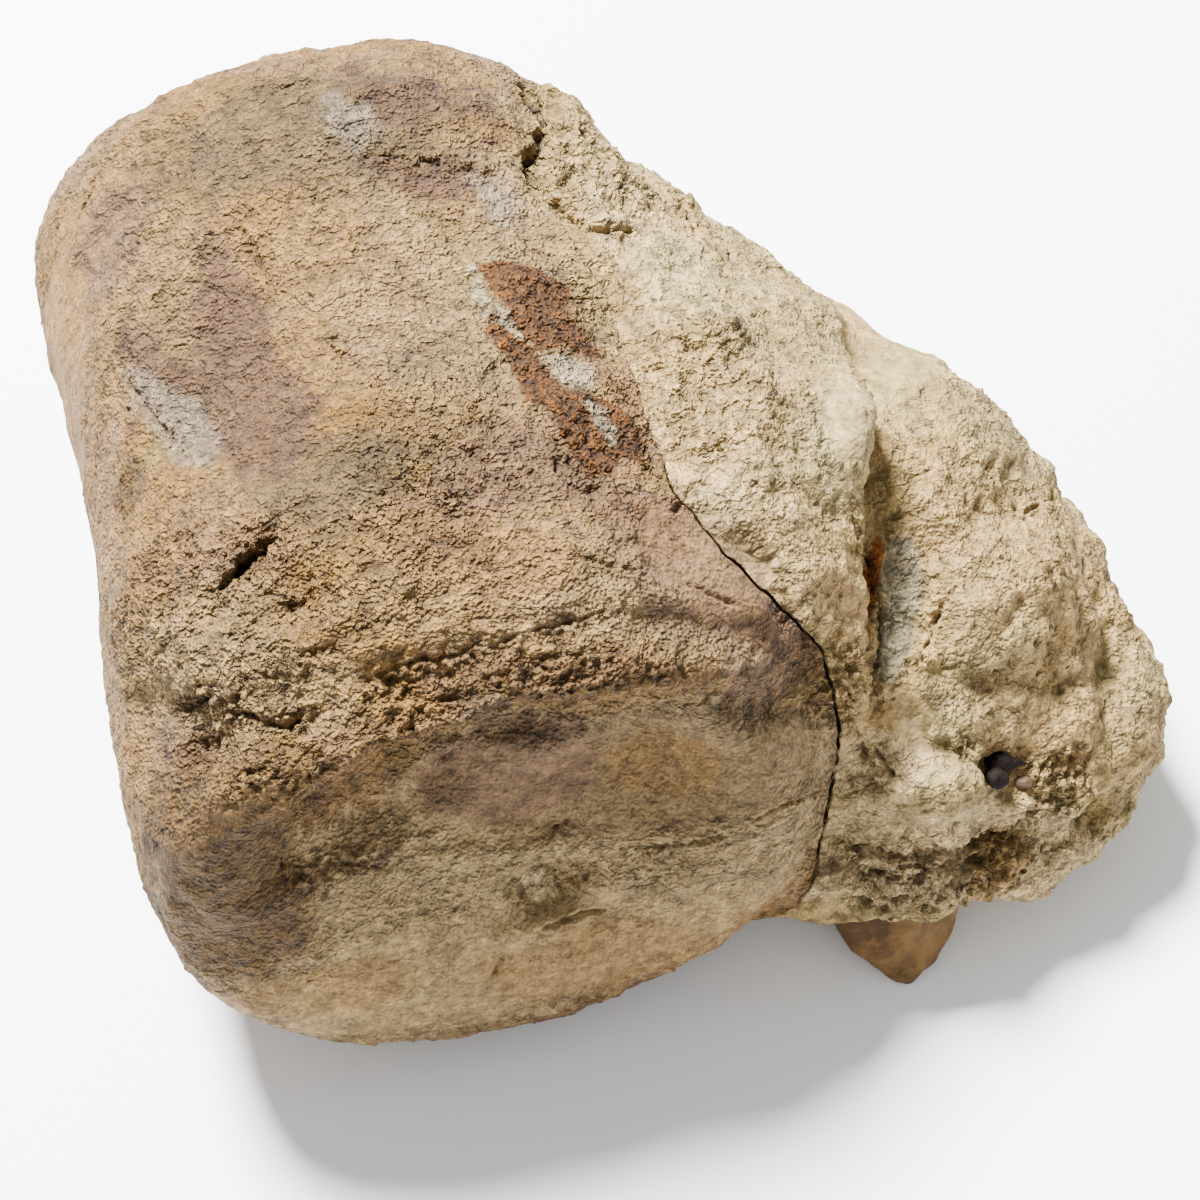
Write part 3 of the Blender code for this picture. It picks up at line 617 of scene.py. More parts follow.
# colour patches, as the level patches are given; each list becomes one value per point
paints = {
    "ochre": [(130, 480, 20, 22), (142, 505, 34, 62, 10), (395, 585, 95, 50, 8), (300, 360, 30, 40),
        (330, 420, 64, 42), (410, 690, 44, 24), (600, 668, 100, 24, 4), (235, 830, 50, 40),
        (60, 300, 34, 90), (70, 440, 30, 110), (665, 760, 40, 26), (600, 960, 90, 26), (330, 990, 60, 22),
        (989, 858, 30, 26), (640, 530, 40, 20), (300, 230, 50, 60), (520, 560, 50, 26)],
    "purple": [(255, 945, 36, 30), (512, 768, 66, 36), (690, 560, 70, 46, -16), (520, 470, 58, 28),
        (110, 240, 30, 50), (770, 660, 26, 46)],
    # painted shade, mostly low on the end face; the small patch at the dark ochre pit is a stain
    "shade": [(235, 905, 52, 80, -8), (180, 850, 40, 60), (130, 485, 17, 20), (850, 865, 24, 24)],
    "green": [(345, 120, 34, 28), (185, 425, 46, 20, 52), (480, 285, 16, 30), (600, 125, 30, 26),
        (250, 950, 16, 13), (845, 430, 30, 60), (900, 380, 50, 40), (760, 300, 100, 40, -30),
        (1000, 420, 50, 40), (1140, 680, 40, 30), (640, 140, 40, 30)],
    "cream": [(590, 240, 100, 54), (430, 330, 90, 80), (620, 560, 90, 34), (280, 690, 70, 34),
        (500, 600, 120, 30), (360, 250, 70, 60), (200, 640, 70, 40), (845, 425, 26, 54), (690, 640, 90, 16),
        (440, 880, 110, 14), (560, 560, 60, 30), (740, 520, 46, 60)],
    "pink": [(700, 400, 70, 50), (980, 560, 70, 60), (1040, 720, 60, 50), (330, 300, 70, 70),
        (500, 540, 80, 40), (800, 560, 50, 60), (240, 520, 80, 50)],
    # painted shade: the far top of the bone and one patch further forward made darker
    "dimShade": [(290, 130, 120, 56), (330, 470, 70, 30)],
    "grey": [(900, 596, 16, 44), (896, 640, 14, 34, -20)],
    "tan": [(900, 850, 130, 44), (1040, 850, 60, 40), (880, 770, 40, 30)],
    "amber": [(870, 578, 7, 34, -10)],
}
# stains, and the painted shade of the dish, with an outline, traced as pixels; how many pixels wide each edge
# fades
outlineSoftness = {"violet": 46, "lilac": 34, "knobby": 16, "dish": 22, "rust": 14, "face": 60, "chalk": 18}
outlined = {
    "violet": [[(210, 246), (258, 282), (282, 348), (314, 396), (310, 456), (282, 480), (240, 474),
        (192, 444), (144, 396), (114, 348), (120, 324), (168, 348), (192, 360), (198, 312), (204, 276)],
        [(342, 66), (396, 72), (456, 90), (516, 90), (534, 120), (504, 138), (462, 120), (408, 132),
        (372, 120), (348, 96)], [(366, 154), (440, 160), (480, 180), (474, 200), (430, 202), (390, 186),
        (370, 170)]],
    "rust": [[(470, 261), (529, 264), (547, 276), (588, 295), (610, 330), (605, 362), (588, 356), (564, 342),
        (541, 353), (517, 333), (497, 295)], [(488, 301), (506, 315), (517, 335), (541, 359), (564, 391),
        (588, 391), (629, 412), (643, 441), (643, 465), (622, 458), (611, 474), (588, 477), (564, 441),
        (549, 409), (525, 398), (508, 360), (487, 335)]],
    "face": [[(300, 830), (380, 800), (410, 778), (432, 756), (480, 724), (520, 709), (600, 700), (720, 694),
        (828, 716), (838, 760), (830, 830), (800, 880), (700, 955), (560, 1010), (420, 1045), (300, 1040),
        (215, 990), (160, 920), (150, 870), (210, 846)]],
    "lilac": [[(120, 366), (150, 372), (190, 400), (226, 440), (214, 476), (182, 466), (150, 430),
        (128, 396)], [(330, 92), (372, 104), (384, 132), (352, 152), (322, 126)], [(470, 180), (520, 176),
        (540, 210), (500, 226)]],
    # the dish under the overhanging rim is painted darker as shade
    "dish": [[(422, 764), (450, 742), (486, 718), (542, 706), (612, 702), (682, 706), (753, 702), (796, 706),
        (818, 724), (818, 790), (753, 818), (682, 832), (570, 832), (472, 825), (416, 790)]],
    "knobby": [[(524, 874), (540, 868), (556, 878), (558, 894), (540, 902), (524, 892)]],
    "chalk": [[(466, 262), (478, 268), (486, 292), (492, 322), (482, 318), (472, 296)], [(493, 300),
        (502, 304), (514, 320), (522, 338), (508, 334), (498, 318)], [(535, 353), (556, 356), (586, 370),
        (602, 388), (580, 392), (552, 376)], [(583, 398), (600, 402), (618, 430), (612, 446), (596, 428)],
        [(560, 350), (578, 360), (596, 372), (590, 384), (566, 376), (548, 362)], [(878, 680), (900, 693),
        (928, 730), (950, 775), (934, 772), (904, 730)]],
}


def pixelsOf(points):
    away = points - np.array(viewEye) / mm
    depth = -(away @ np.array(viewBack))
    u = imageMiddle + pixelsPerUnit * (away @ np.array(viewRight)) / depth
    v = imageMiddle - pixelsPerUnit * (away @ np.array(viewUp)) / depth
    return u, v


# pixels inside an outline count above zero, pixels outside below
def insideOutline(u, v, outline):
    inside = np.zeros(len(u), bool)
    edge = np.full(len(u), np.inf)
    for (u0, v0), (u1, v1) in zip(outline, outline[1:] + outline[:1]):
        du, dv = u1 - u0, v1 - v0
        along = np.clip(((u - u0) * du + (v - v0) * dv) / (du**2 + dv**2), 0, 1)
        edge = np.minimum(edge, np.hypot(u - u0 - along * du, v - v0 - along * dv))
        crosses = (v0 > v) != (v1 > v)
        inside ^= crosses & (u < u0 + (v - v0) / (dv or 1e-9) * du)
    return np.where(inside, edge, -edge)


facingFade = 0.3
# bone and rock share one colour beside the closed part of the break, in mm
seamSetup = {"reach": 16, "from": -8, "fade": 20}


def paintLayers(obj, facing):
    points = pointsOf(obj.data)
    painted = {}
    for name, patches in paints.items():
        share = np.zeros(len(points))
        for patch in patches:
            share = np.maximum(share, np.clip(1.5 - awayFrom(points, patch) * 0.75, 0, 1))
        painted[name] = share
    u, v = pixelsOf(points)
    for name, outlines in outlined.items():
        edge = np.max([insideOutline(u, v, outline) for outline in outlines], axis=0)
        painted[name] = np.clip(0.5 + edge / outlineSoftness[name], 0, 1) * ease(facing / facingFade)
    gap = points[:, 0] - breakX(points[:, 1], points[:, 2])
    behind = ease((points[:, 1] - seamSetup["from"]) / seamSetup["fade"])
    painted["seam"] = np.clip(1 - np.abs(gap) / seamSetup["reach"], 0, 1) * behind
    return painted


normals = normalsOf(skin.data)
layers.update(paintLayers(skin, normals @ np.array(viewBack)))
skinPoints = skin.data.vertices
lookup = KDTree(len(skinPoints))
for vert in skinPoints:
    lookup.insert(vert.co, vert.index)
lookup.balance()
print("painted")


# the break: one sheet of the level lines, thickened into a solid that holds everything on the bone's side
breakSetup = {"step": 1.5, "left": -250.0, "jag": 0.9, "jagSize": 4, "closed": 0.02, "open": 0.95,
              "openFrom": -16.0, "openTo": -44.0, "long": 300, "tall": 171, "middleY": 10, "middleZ": 73.5}


def breakSolid(opening):
    step = breakSetup["step"]
    long, tall = breakSetup["long"], breakSetup["tall"]
    rows, columns = int((tall + 1) / step), int(long / step)
    bm = bmesh.new()
    bmesh.ops.create_grid(bm, x_segments=columns, y_segments=rows, size=0.5)
    y = np.array([vert.co.x for vert in bm.verts]) * long + breakSetup["middleY"]
    z = np.array([vert.co.y for vert in bm.verts]) * tall + breakSetup["middleZ"]
    x = breakX(y, z)
    sheet = np.stack([x, y, z], axis=1)
    x = x + noiseEach(sheet, breakSetup["jagSize"], 60, 4) * breakSetup["jag"] + opening(y)
    for vert, place in zip(bm.verts, zip(x, y, z)):
        vert.co = Vector(place) * mm
    made = bmesh.ops.extrude_face_region(bm, geom=bm.faces[:])
    for item in made["geom"]:
        if isinstance(item, bmesh.types.BMVert):
            item.co.x = breakSetup["left"] * mm
    bmesh.ops.recalc_face_normals(bm, faces=bm.faces)
    return meshObject("break", bm)


def crackGap(y):
    opened = ease((breakSetup["openFrom"] - y) / (breakSetup["openFrom"] - breakSetup["openTo"]))
    return breakSetup["closed"] + breakSetup["open"] * opened


def cutAtBreak(obj, name, operation, opening):
    copy = bpy.data.objects.new(name, obj.data.copy())
    bpy.context.scene.collection.objects.link(copy)
    cutter = breakSolid(opening)
    cut = copy.modifiers.new("break", "BOOLEAN")
    cut.object = cutter
    cut.operation = operation
    cut.solver = "MANIFOLD"
    bakeModifiers(copy)
    removeObject(cutter)
    return copy


def keepLargest(obj):
    bm = bmesh.new()
    bm.from_mesh(obj.data)
    left = set(bm.verts)
    groups = []
    while left:
        group = {left.pop()}
        fringe = list(group)
        while fringe:
            vert = fringe.pop()
            for edge in vert.link_edges:
                other = edge.other_vert(vert)
                if other in left:
                    left.discard(other)
                    group.add(other)
                    fringe.append(other)
        groups.append(group)
    groups.sort(key=len)
    for group in groups[:-1]:
        bmesh.ops.delete(bm, geom=list(group), context="VERTS")
    bm.to_mesh(obj.data)
    bm.free()


bone = cutAtBreak(skin, "bone", "INTERSECT", lambda y: 0.0)
rock = cutAtBreak(skin, "matrix_rock", "DIFFERENCE", crackGap)
keepLargest(bone)
keepLargest(rock)
removeObject(skin)
print("bone", len(bone.data.vertices), "rock", len(rock.data.vertices))


def handOnLayers(obj):
    mesh = obj.data
    nearest = [lookup.find(vert.co)[1:] for vert in mesh.vertices]
    index = np.array([item[0] for item in nearest])
    inner = np.clip(np.array([item[1] for item in nearest]) / mm - 1, 0, 3) / 3
    for name, values in {**layers, "inner": None}.items():
        layer = mesh.attributes.new(name, "FLOAT", "POINT")
        layer.data.foreach_set("value", (inner if values is None else values[index]).astype(np.float32))


def smoothShaded(obj):
    obj.data.polygons.foreach_set("use_smooth", [True] * len(obj.data.polygons))


for piece in (bone, rock):
    handOnLayers(piece)
    smoothShaded(piece)


def add(tree, kind, inputs=None, **settings):
    node = tree.nodes.new(kind)
    for key, value in settings.items():
        setattr(node, key, value)
    for key, value in (inputs or {}).items():
        if isinstance(value, bpy.types.NodeSocket):
            tree.links.new(value, node.inputs[key])
        else:
            node.inputs[key].default_value = value
    return node


def newMaterial(name, roughness, ior=1.5, shine=0.22):
    material = bpy.data.materials.new(name)
    material.use_nodes = True
    shader = material.node_tree.nodes["Principled BSDF"]
    shader.inputs["Roughness"].default_value = roughness
    shader.inputs["IOR"].default_value = ior
    shader.inputs["Specular IOR Level"].default_value = shine
    return material, material.node_tree, shader


def objectPlace(tree):
    return add(tree, "ShaderNodeTexCoord").outputs["Object"]


def noiseOf(tree, place, size, detail=4.0, rough=0.55, distortion=0.0):
    return add(tree, "ShaderNodeTexNoise", {"Vector": place, "Scale": 1000 / size, "Detail": detail,
                                            "Roughness": rough, "Distortion": distortion}).outputs["Fac"]


def cellsOf(tree, place, size):
    return add(tree, "ShaderNodeTexVoronoi", {"Vector": place, "Scale": 1000 / size}).outputs


def maths(tree, operation, a, b=0.0):
    return add(tree, "ShaderNodeMath", {0: a, 1: b}, operation=operation).outputs[0]


def vectorMaths(tree, operation, inputs):
    return add(tree, "ShaderNodeVectorMath", inputs, operation=operation).outputs[0]


def band(tree, value, low, high, toLow=0.0, toHigh=1.0):
    ends = {"Value": value, "From Min": low, "From Max": high, "To Min": toLow, "To Max": toHigh}
    return add(tree, "ShaderNodeMapRange", ends, interpolation_type="SMOOTHSTEP").outputs["Result"]


def blendColour(tree, share, first, second, blend="MIX"):
    node = tree.nodes.new("ShaderNodeMix")
    node.data_type = "RGBA"
    node.blend_type = blend
    for socket, value in ((node.inputs[0], share), (node.inputs[6], first), (node.inputs[7], second)):
        if isinstance(value, bpy.types.NodeSocket):
            tree.links.new(value, socket)
        else:
            socket.default_value = value
    return node.outputs[2]


def layerOf(tree, name):
    return add(tree, "ShaderNodeAttribute", attribute_name=name).outputs["Fac"]


# a painted layer whose soft edge is broken up by the given noise
def paintShare(tree, name, breakUp, strength, low=0.42, high=0.72, spread=0.9):
    wandering = maths(tree, "MULTIPLY", maths(tree, "SUBTRACT", breakUp, 0.5), spread)
    share = band(tree, maths(tree, "ADD", layerOf(tree, name), wandering), low, high)
    return maths(tree, "MULTIPLY", share, strength)


stoneColours = {
    # boneShadeAndStain colours painted shade, and a dark ochre stain at one pit
    "boneBase": "#68502a", "boneShadeAndStain": "#46300f", "boneCream": "#7c6540", "bonePink": "#6c5132",
    # dusk is the colour of painted shade
    "ochre": "#6c4c17", "purple": "#543c2b", "dimShade": "#4c3c22", "seam": "#7f683f", "violet": "#47311e",
    "green": "#6d6136", "rust": "#4e2a00", "rustDark": "#1f1200", "lilac": "#6e6250", "face": "#86704c",
    # crack is the near-black of painted shade inside cracks and holes
    "dish": "#604c30", "inner": "#45351f", "crack": "#0d0905", "chalk": "#8d8268", "rockBase": "#8c7548",
    "rockGreen": "#857952", "rockPink": "#94784d", "rockGrey": "#77705a", "rockTan": "#a38d66",
    "rockPale": "#a08b62", "amber": "#743c02",
}


# a noise is its size in mm, octaves and roughness; a wash is a noise, low, high, share and colour; a paint
# is a painted layer, the noise that breaks up its edge, share and colour, then low, high and spread if its own
# mineralised bone: calcium phosphate and calcite, matt, stained by iron
boneSurface = {
    "look": ("mineralised fossil bone", 0.85, 1.55), "base": "boneBase", "inner": "inner", "crackShade": 0.9,
    "noises": {"large": (46, 2, 0.5), "cloud": (30, 2, 0.55), "middle": (13, 4, 0.65), "small": (3.2, 2, 0.7),
               "speck": (0.8, 2, 0.7)},
    "washes": [("middle", 0.38, 0.62, 1.0, "bonePink"), ("large", 0.46, 0.64, 0.5, "ochre"),
               ("cloud", 0.5, 0.64, 0.45, "purple")],
    "paints": [("cream", "middle", 0.6, "boneCream"), ("pink", "middle", 0.5, "bonePink"),
               # the dish paint is painted shade under the overhanging rim
               ("face", "small", 0.8, "face", 0.3, 0.7, 0.9), ("dish", "small", 0.8, "dish", 0.3, 0.7, 0.7),
               ("ochre", "middle", 0.38, "ochre"), ("purple", "middle", 0.62, "purple"),
               # the dusk paint is painted shade
               ("green", "middle", 0.4, "green"), ("dimShade", "middle", 0.85, "dimShade", 0.3, 0.85),
               ("violet", "middle", 0.9, "violet", 0.3, 0.72, 1.5),
               ("lilac", "middle", 0.6, "lilac", 0.3, 0.72, 1.5),
               ("knobby", "small", 0.8, "rockTan", 0.35, 0.65, 0.9),
               # painted shade, and a dark ochre stain at one pit
               ("shade", "middle", 0.85, "boneShadeAndStain", 0.25, 0.9),
               ("rust", "small", 0.95, "mottledRust", 0.44, 0.54, 1.1),
               ("chalk", "small", 0.6, "chalk", 0.4, 0.7, 1.3),
               ("seam", "middle", 0.9, "seam", 0.35, 0.8, 1.2)],
    "chip": 5.0, "stretch": 0.85, "depth": 2.4, "low": 0.84, "high": 1.12, "dark": 0.62, "bright": 1.3,
}
# sedimentary matrix: soft marly limestone, dead matt, crumbly and porous
rockSurface = {
    "look": ("marly limestone matrix", 0.93, 1.5), "base": "rockBase", "inner": "rockTan", "crackShade": 0.85,
    "noises": {"large": (52, 2, 0.5), "middle": (14, 4, 0.65), "small": (3.4, 2, 0.72),
               "speck": (0.8, 2, 0.7)},
    "washes": [("middle", 0.4, 0.62, 1.0, "rockPink"), ("large", 0.48, 0.62, 0.5, "rockGreen")],
    "paints": [("cream", "middle", 0.6, "rockPale"), ("pink", "middle", 0.5, "rockPink"),
               ("green", "middle", 0.4, "rockGreen"), ("grey", "middle", 0.8, "rockGrey"),
               ("tan", "middle", 0.75, "rockTan"), ("ochre", "middle", 0.6, "ochre"),
               ("purple", "middle", 0.5, "purple"), ("rust", "small", 0.95, "mottledRust", 0.44, 0.54, 1.1),
               ("chalk", "small", 0.7, "rockPale", 0.4, 0.7, 1.2),
               ("amber", "small", 0.9, "amber", 0.5, 0.62, 0.3),
               ("seam", "middle", 0.9, "seam", 0.35, 0.8, 1.2)],
    # pit: size in mm of the pores, whose insides are painted dark as shade
    "pit": 9.0, "pitBand": (0.07, 0.13, 0.35, 1.0),
    "chip": 6.0, "stretch": 0.9, "depth": 2.0, "low": 0.86, "high": 1.1, "dark": 0.68, "bright": 1.22,
}
# what both share: noises as above, and bands of low, high and what each becomes
weather = {
    "warp": (3.0, 0.8), "crumb": 0.42, "mask": (15, 1), "maskBand": (0.4, 0.58, 0.35, 1.0),
    "stroke": (3.0, 1, 0.7), "strokeBand": (0.5, 0.58), "calmBand": (0.0, 1.0, 1.0, 0.3), "wild": 0.6,
    "lineBand": (0.52, 0.7), "dome": -0.5,
    "relief": {"chips": 0.5, "crumbs": 0.4, "small": 1.5, "speck": 0.6}, "smallBand": (0.4, 0.6),
    "speckBand": (0.36, 0.64), "fleck": (2.1, 3, 0.74), "darkBand": (0.36, 0.45), "brightBand": (0.56, 0.66),
    "shadeBand": (0.0, 1.0, 0.9, 1.1), "toneBand": (0.0, 1.0, 0.86, 1.14),
    # the hollow band paints shade into hollows and light onto raised places
    "strokeShade": (0.0, 1.0, 1.0, 0.62), "hollowShadeBand": (-0.9, 1.1, 1.14, 0.7), "crackShadeBand": (0.35, 0.95),
    "rustBands": ((0.38, 0.5), (0.64, 0.72)),
}


def warped(tree, place, size, ragged):
    bent = add(tree, "ShaderNodeTexNoise", {"Vector": place, "Scale": 1000 / size, "Detail": 0.0})
    moved = vectorMaths(tree, "SUBTRACT", {0: bent.outputs["Color"], 1: (0.5, 0.5, 0.5)})
    pushed = vectorMaths(tree, "SCALE", {0: moved, "Scale": ragged * size * mm})
    return vectorMaths(tree, "ADD", {0: place, 1: pushed})


# chips: domed cells, each at its own height and of its own shade, with a line where they meet that is painted
# as shade
def chipsOf(tree, place, size):
    cells = cellsOf(tree, place, size)
    split = add(tree, "ShaderNodeSeparateColor", {"Color": cells["Color"]})
    dome = maths(tree, "MULTIPLY", cells["Distance"], weather["dome"])
    line = band(tree, cells["Distance"], *weather["lineBand"])
    return maths(tree, "ADD", split.outputs[0], dome), split.outputs[1], line


def scaled(tree, colour, factors):
    for factor in factors:
        colour = vectorMaths(tree, "SCALE", {0: colour, "Scale": factor})
    return colour


# the surface that bone and rock share: its bumps, and how light or dark each place is
def weathered(tree, place, small, speck, setup):
    flat = add(tree, "ShaderNodeMapping", {"Vector": place, "Scale": (setup["stretch"], 1, 1)}).outputs[0]
    bent = warped(tree, flat, *weather["warp"])
    chips, shade, chipLine = chipsOf(tree, bent, setup["chip"])
    crumbs, tone, crumbLine = chipsOf(tree, bent, setup["chip"] * weather["crumb"])
    chipMask = band(tree, noiseOf(tree, place, *weather["mask"]), *weather["maskBand"])
    strokeMask = band(tree, noiseOf(tree, place, *weather["stroke"]), *weather["strokeBand"])
    calm = band(tree, layerOf(tree, "smoothness"), *weather["calmBand"])
    wild = maths(tree, "ADD", calm, maths(tree, "MULTIPLY", layerOf(tree, "crumble"), weather["wild"]))
    parts = {"chips": maths(tree, "MULTIPLY", chips, chipMask),
             "crumbs": maths(tree, "MULTIPLY", crumbs, chipMask), "small": small, "speck": speck}
    relief = 0.0
    for name, depth in weather["relief"].items():
        relief = maths(tree, "ADD", relief, maths(tree, "MULTIPLY", parts[name], depth))
    relief = maths(tree, "MULTIPLY", relief, wild)
    bump = add(tree, "ShaderNodeBump", {"Strength": 1.0, "Distance": setup["depth"] * mm, "Height": relief,
                                         "Filter Width": 1.0})
    # painted shade along the seams where chips meet, as under the edges of flakes
    chipSeamShade = maths(tree, "MULTIPLY", maths(tree, "MAXIMUM", chipLine, crumbLine), strokeMask)
    chipSeamShade = maths(tree, "MULTIPLY", chipSeamShade, wild)
    fleck = noiseOf(tree, place, *weather["fleck"])
    factors = [band(tree, small, *weather["smallBand"], setup["low"], setup["high"]),
               band(tree, speck, *weather["speckBand"], setup["low"], setup["high"]),
               band(tree, fleck, *weather["darkBand"], setup["dark"], 1.0),
               band(tree, fleck, *weather["brightBand"], 1.0, setup["bright"]),
               band(tree, shade, *weather["shadeBand"]),
               band(tree, tone, *weather["toneBand"]),
               band(tree, chipSeamShade, *weather["strokeShade"]),
               # painted shade in hollows and painted light on raised places
               band(tree, layerOf(tree, "hollow"), *weather["hollowShadeBand"])]
    return bump.outputs["Normal"], factors


def surfaceMaterial(setup):
    material, tree, shader = newMaterial(*setup["look"])
    place = objectPlace(tree)
    colour = {name: linear(code) for name, code in stoneColours.items()}
    noises = {name: noiseOf(tree, place, *row) for name, row in setup["noises"].items()}
    small, speck = noises["small"], noises["speck"]
    darkBand, ochreBand = weather["rustBands"]
    rust = blendColour(tree, band(tree, speck, *darkBand), colour["rustDark"], colour["rust"])
    colour["mottledRust"] = blendColour(tree, band(tree, speck, *ochreBand), rust, colour["ochre"])
    base = colour[setup["base"]]
    for noiseName, low, high, most, shade in setup["washes"]:
        share = maths(tree, "MULTIPLY", band(tree, noises[noiseName], low, high), most)
        base = blendColour(tree, share, base, colour[shade])
    for layer, breakUp, most, shade, *edge in setup["paints"]:
        base = blendColour(tree, paintShare(tree, layer, noises[breakUp], most, *edge), base, colour[shade])
    base = blendColour(tree, layerOf(tree, "inner"), base, colour[setup["inner"]])
    normal, factors = weathered(tree, place, small, speck, setup)
    # painted shade in the rock's pores
    if "pit" in setup:
        factors.append(band(tree, cellsOf(tree, place, setup["pit"])["Distance"], *setup["pitBand"]))
    base = scaled(tree, base, factors)
    # painted shade: cracks and holes darken towards near black by how deep and open they are
    crackShadeShare = band(tree, layerOf(tree, "crackShadeDepth"), *weather["crackShadeBand"], 0.0, setup["crackShade"])
    base = blendColour(tree, crackShadeShare, base, colour["crack"])
    tree.links.new(base, shader.inputs["Base Color"])
    tree.links.new(normal, shader.inputs["Normal"])
    return material


# smaller stones: denser bone worn smooth, a phosphate nodule with a black skin, a brown pebble
def stoneMaterial(name, first, second, roughness, grain, depth, shine=0.22):
    material, tree, shader = newMaterial(name, roughness, 1.56, shine)
    place = objectPlace(tree)
    coarse = noiseOf(tree, place, grain, 5, 0.6, 0.5)
    fine = noiseOf(tree, place, grain / 7, 4, 0.65)
    base = blendColour(tree, band(tree, coarse, 0.36, 0.64), linear(first), linear(second))
    tree.links.new(base, shader.inputs["Base Color"])
    relief = maths(tree, "ADD", coarse, maths(tree, "MULTIPLY", fine, 0.5))
    bump = add(tree, "ShaderNodeBump", {"Strength": 1.0, "Distance": depth * mm, "Height": relief})
    tree.links.new(bump.outputs["Normal"], shader.inputs["Normal"])
    return material


def dress(obj, material, node):
    obj.data.materials.clear()
    obj.data.materials.append(material)
    obj.data.polygons.foreach_set("material_index", [0] * len(obj.data.polygons))
    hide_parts(node)
    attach(obj, "root")


dress(bone, surfaceMaterial(boneSurface), "vertebra")
dress(rock, surfaceMaterial(rockSurface), "matrix")


stoneSeed = 70
stoneSetup = {
    "bone_spur": {"slot": "amber_bone", "cuts": 3, "lump": 1.2, "flatten": 1.0, "lumpSize": 9,
                  "look": ("worn amber bone", "#442c0e", "#6b4f24", 0.6, 7, 1.2)},
    "brown_pebble": {"slot": "pebble", "cuts": 2, "lump": 0.3, "flatten": 0.7, "lumpSize": 1.6,
                     "look": ("brown phosphate pebble", "#362716", "#463521", 0.6, 1.6, 0.15)},
}


def makeStone(node, setup):
    bm = mergedCopy(node)
    bmesh.ops.subdivide_edges(bm, edges=bm.edges[:], cuts=setup["cuts"], use_grid_fill=True, smooth=0)
    for _ in range(3):
        bmesh.ops.smooth_vert(bm, verts=bm.verts[:], factor=0.5, use_axis_x=True, use_axis_y=True,
                              use_axis_z=True)
    obj = meshObject("worn_" + node, bm)
    points, normals = pointsOf(obj.data), normalsOf(obj.data)
    points += normals * (noiseEach(points, setup["lumpSize"], stoneSeed, 3) * setup["lump"])[:, None]
    middle = (points.max(axis=0) + points.min(axis=0)) / 2
    away = points - middle
    away[:, 2] *= setup["flatten"]
    points = middle + away
    points[:, 2] = np.maximum(points[:, 2], 0)
    putPoints(obj.data, points)
    smoothShaded(obj)
    dress(obj, stoneMaterial(*setup["look"]), node)
    return obj


stones = {node: makeStone(node, setup) for node, setup in stoneSetup.items()}


# the nodule: two squashed lobes, the upper one with a beak to the right; pixels and mm
noduleSetup = {"voxel": 0.3, "lump": 0.25, "lumpSize": 2.2, "pinch": 0.75, "middle": (1000, 769),
               "shine": 0.08,
               "look": ("black phosphate nodule", "#090504", "#150d0b", 0.75, 2.4, 0.12),
               "lobes": {"upper": ((1000, 762), (3.7, 2.3, 2.3), 3.4),
                         "lower": ((996, 779), (3.2, 2.5, 2.2), 0.0)}}


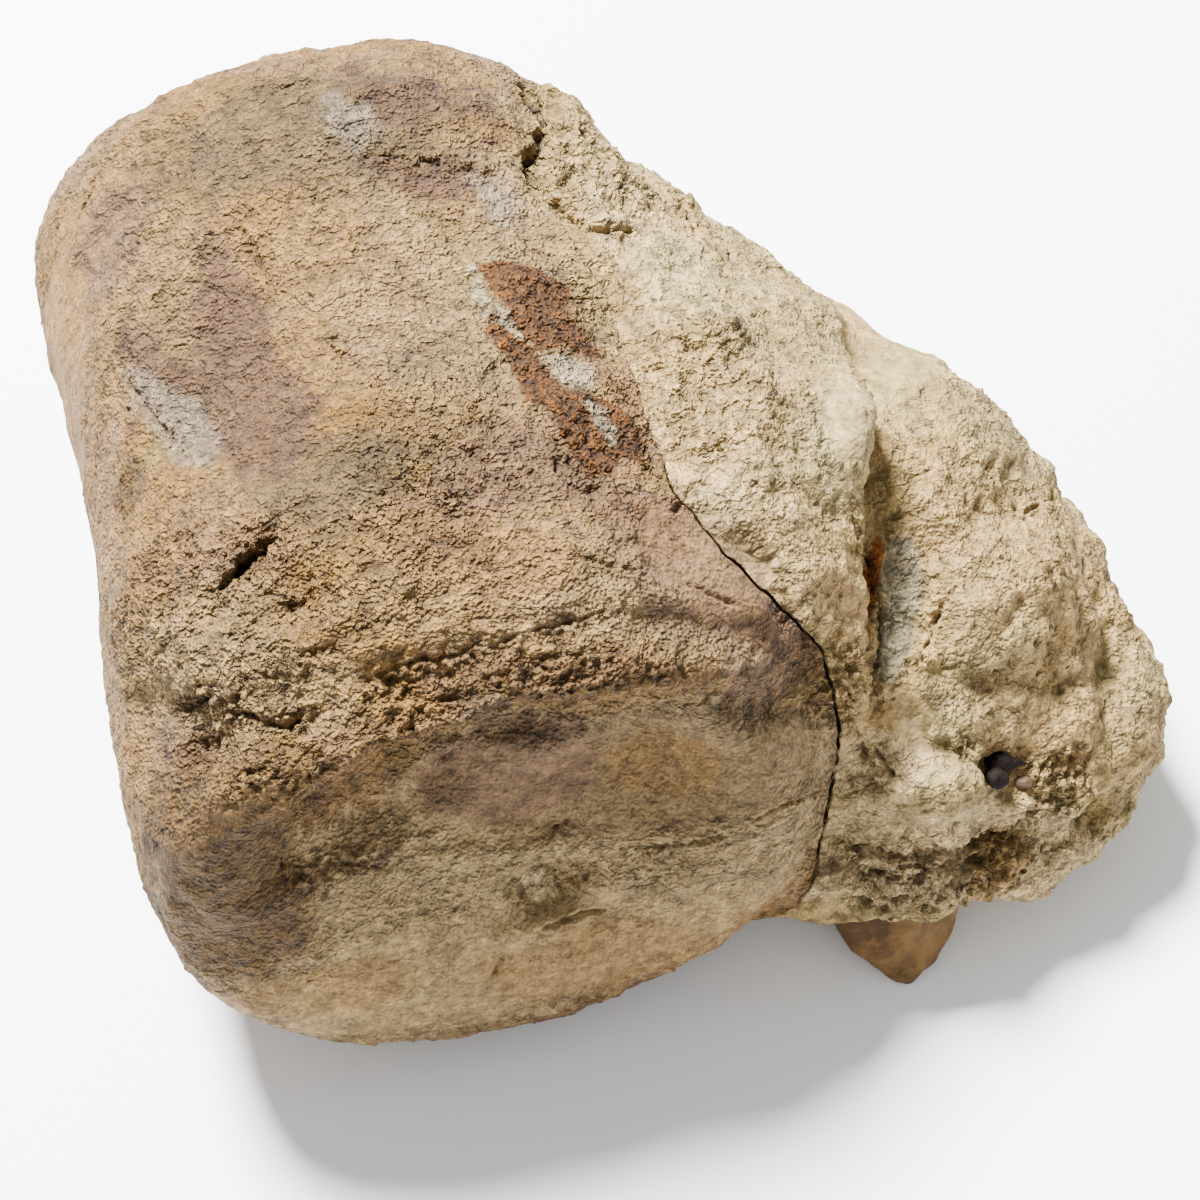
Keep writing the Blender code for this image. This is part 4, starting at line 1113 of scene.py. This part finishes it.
def makeNodule():
    bm = bmesh.new()
    low, high = (np.array(corner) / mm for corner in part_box("black_nodule"))
    _, outward = spot(*noduleSetup["middle"])
    across = np.array(viewRight) - outward * (np.array(viewRight) @ outward)
    across /= np.linalg.norm(across)
    upwards = np.cross(outward, across)
    for (u, v), (wide, tall, deep), beak in noduleSetup["lobes"].values():
        centre = np.clip(spot(u, v)[0], low, high)
        ball = bmesh.ops.create_icosphere(bm, subdivisions=4, radius=1.0)
        for vert in ball["verts"]:
            x, y, z = vert.co
            beyond = max(0.0, x) ** 3
            reach = wide * x + beak * beyond
            narrow = 1 - noduleSetup["pinch"] * beyond if beak else 1
            rise, out = upwards * (tall * y * narrow), outward * (deep * z * narrow)
            vert.co = Vector(centre + across * reach + rise + out) * mm
    obj = meshObject("worn_black_nodule", bm)
    remesh = obj.modifiers.new("one piece", "REMESH")
    remesh.mode = "VOXEL"
    remesh.voxel_size = noduleSetup["voxel"] * mm
    soften = obj.modifiers.new("soften", "SMOOTH")
    soften.iterations = 2
    bakeModifiers(obj)
    points = pointsOf(obj.data)
    bulge = noiseEach(points, noduleSetup["lumpSize"], stoneSeed, 3) * noduleSetup["lump"]
    putPoints(obj.data, points + normalsOf(obj.data) * bulge[:, None])
    smoothShaded(obj)
    dress(obj, stoneMaterial(*noduleSetup["look"], shine=noduleSetup["shine"]), "black_nodule")
    return obj


stones["black_nodule"] = makeNodule()
print("stones made")


# plain pale floor and soft studio light
studio = {"floorSize": 12.0, "floor": "#f6f6f6", "world": "#f4f4f4", "worldStrength": 0.92,
          "key": {"at": (-0.5, 0.62, 1.45), "size": 0.5, "power": 270.0},
          "fill": {"at": (0.2, -1.3, 1.2), "size": 1.2, "power": 3.0}}


def makeFloor():
    bm = bmesh.new()
    bmesh.ops.create_grid(bm, x_segments=1, y_segments=1, size=studio["floorSize"] / 2)
    floor = meshObject("floor", bm)
    material, _, shader = newMaterial("pale studio paper", 0.9)
    shader.inputs["Base Color"].default_value = linear(studio["floor"])
    shader.inputs["Specular IOR Level"].default_value = 0.1
    floor.data.materials.append(material)
    return floor


def makeLight(name, setup):
    data = bpy.data.lights.new(name, "AREA")
    data.shape = "DISK"
    data.size = setup["size"]
    data.energy = setup["power"]
    light = bpy.data.objects.new(name, data)
    light.location = setup["at"]
    light.rotation_mode = "QUATERNION"
    light.rotation_quaternion = (-Vector(setup["at"]) + Vector((0, 0, 0.05))).to_track_quat("-Z", "Y")
    bpy.context.scene.collection.objects.link(light)
    return light


floor = makeFloor()
floor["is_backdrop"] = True
makeLight("key light", studio["key"])
makeLight("fill light", studio["fill"])
world = bpy.data.worlds.new("studio")
world.use_nodes = True
world.node_tree.nodes["Background"].inputs["Color"].default_value = linear(studio["world"])
world.node_tree.nodes["Background"].inputs["Strength"].default_value = studio["worldStrength"]
bpy.context.scene.world = world

shownLow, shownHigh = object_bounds()
for name, span in (("shown", shownHigh - shownLow), ("cad", cadHigh - cadLow)):
    print(name, [round(v / mm, 1) for v in span], "mm")
for obj in (bone, rock, *stones.values()):
    print(obj.name, "triangles", sum(len(face.vertices) - 2 for face in obj.data.polygons))
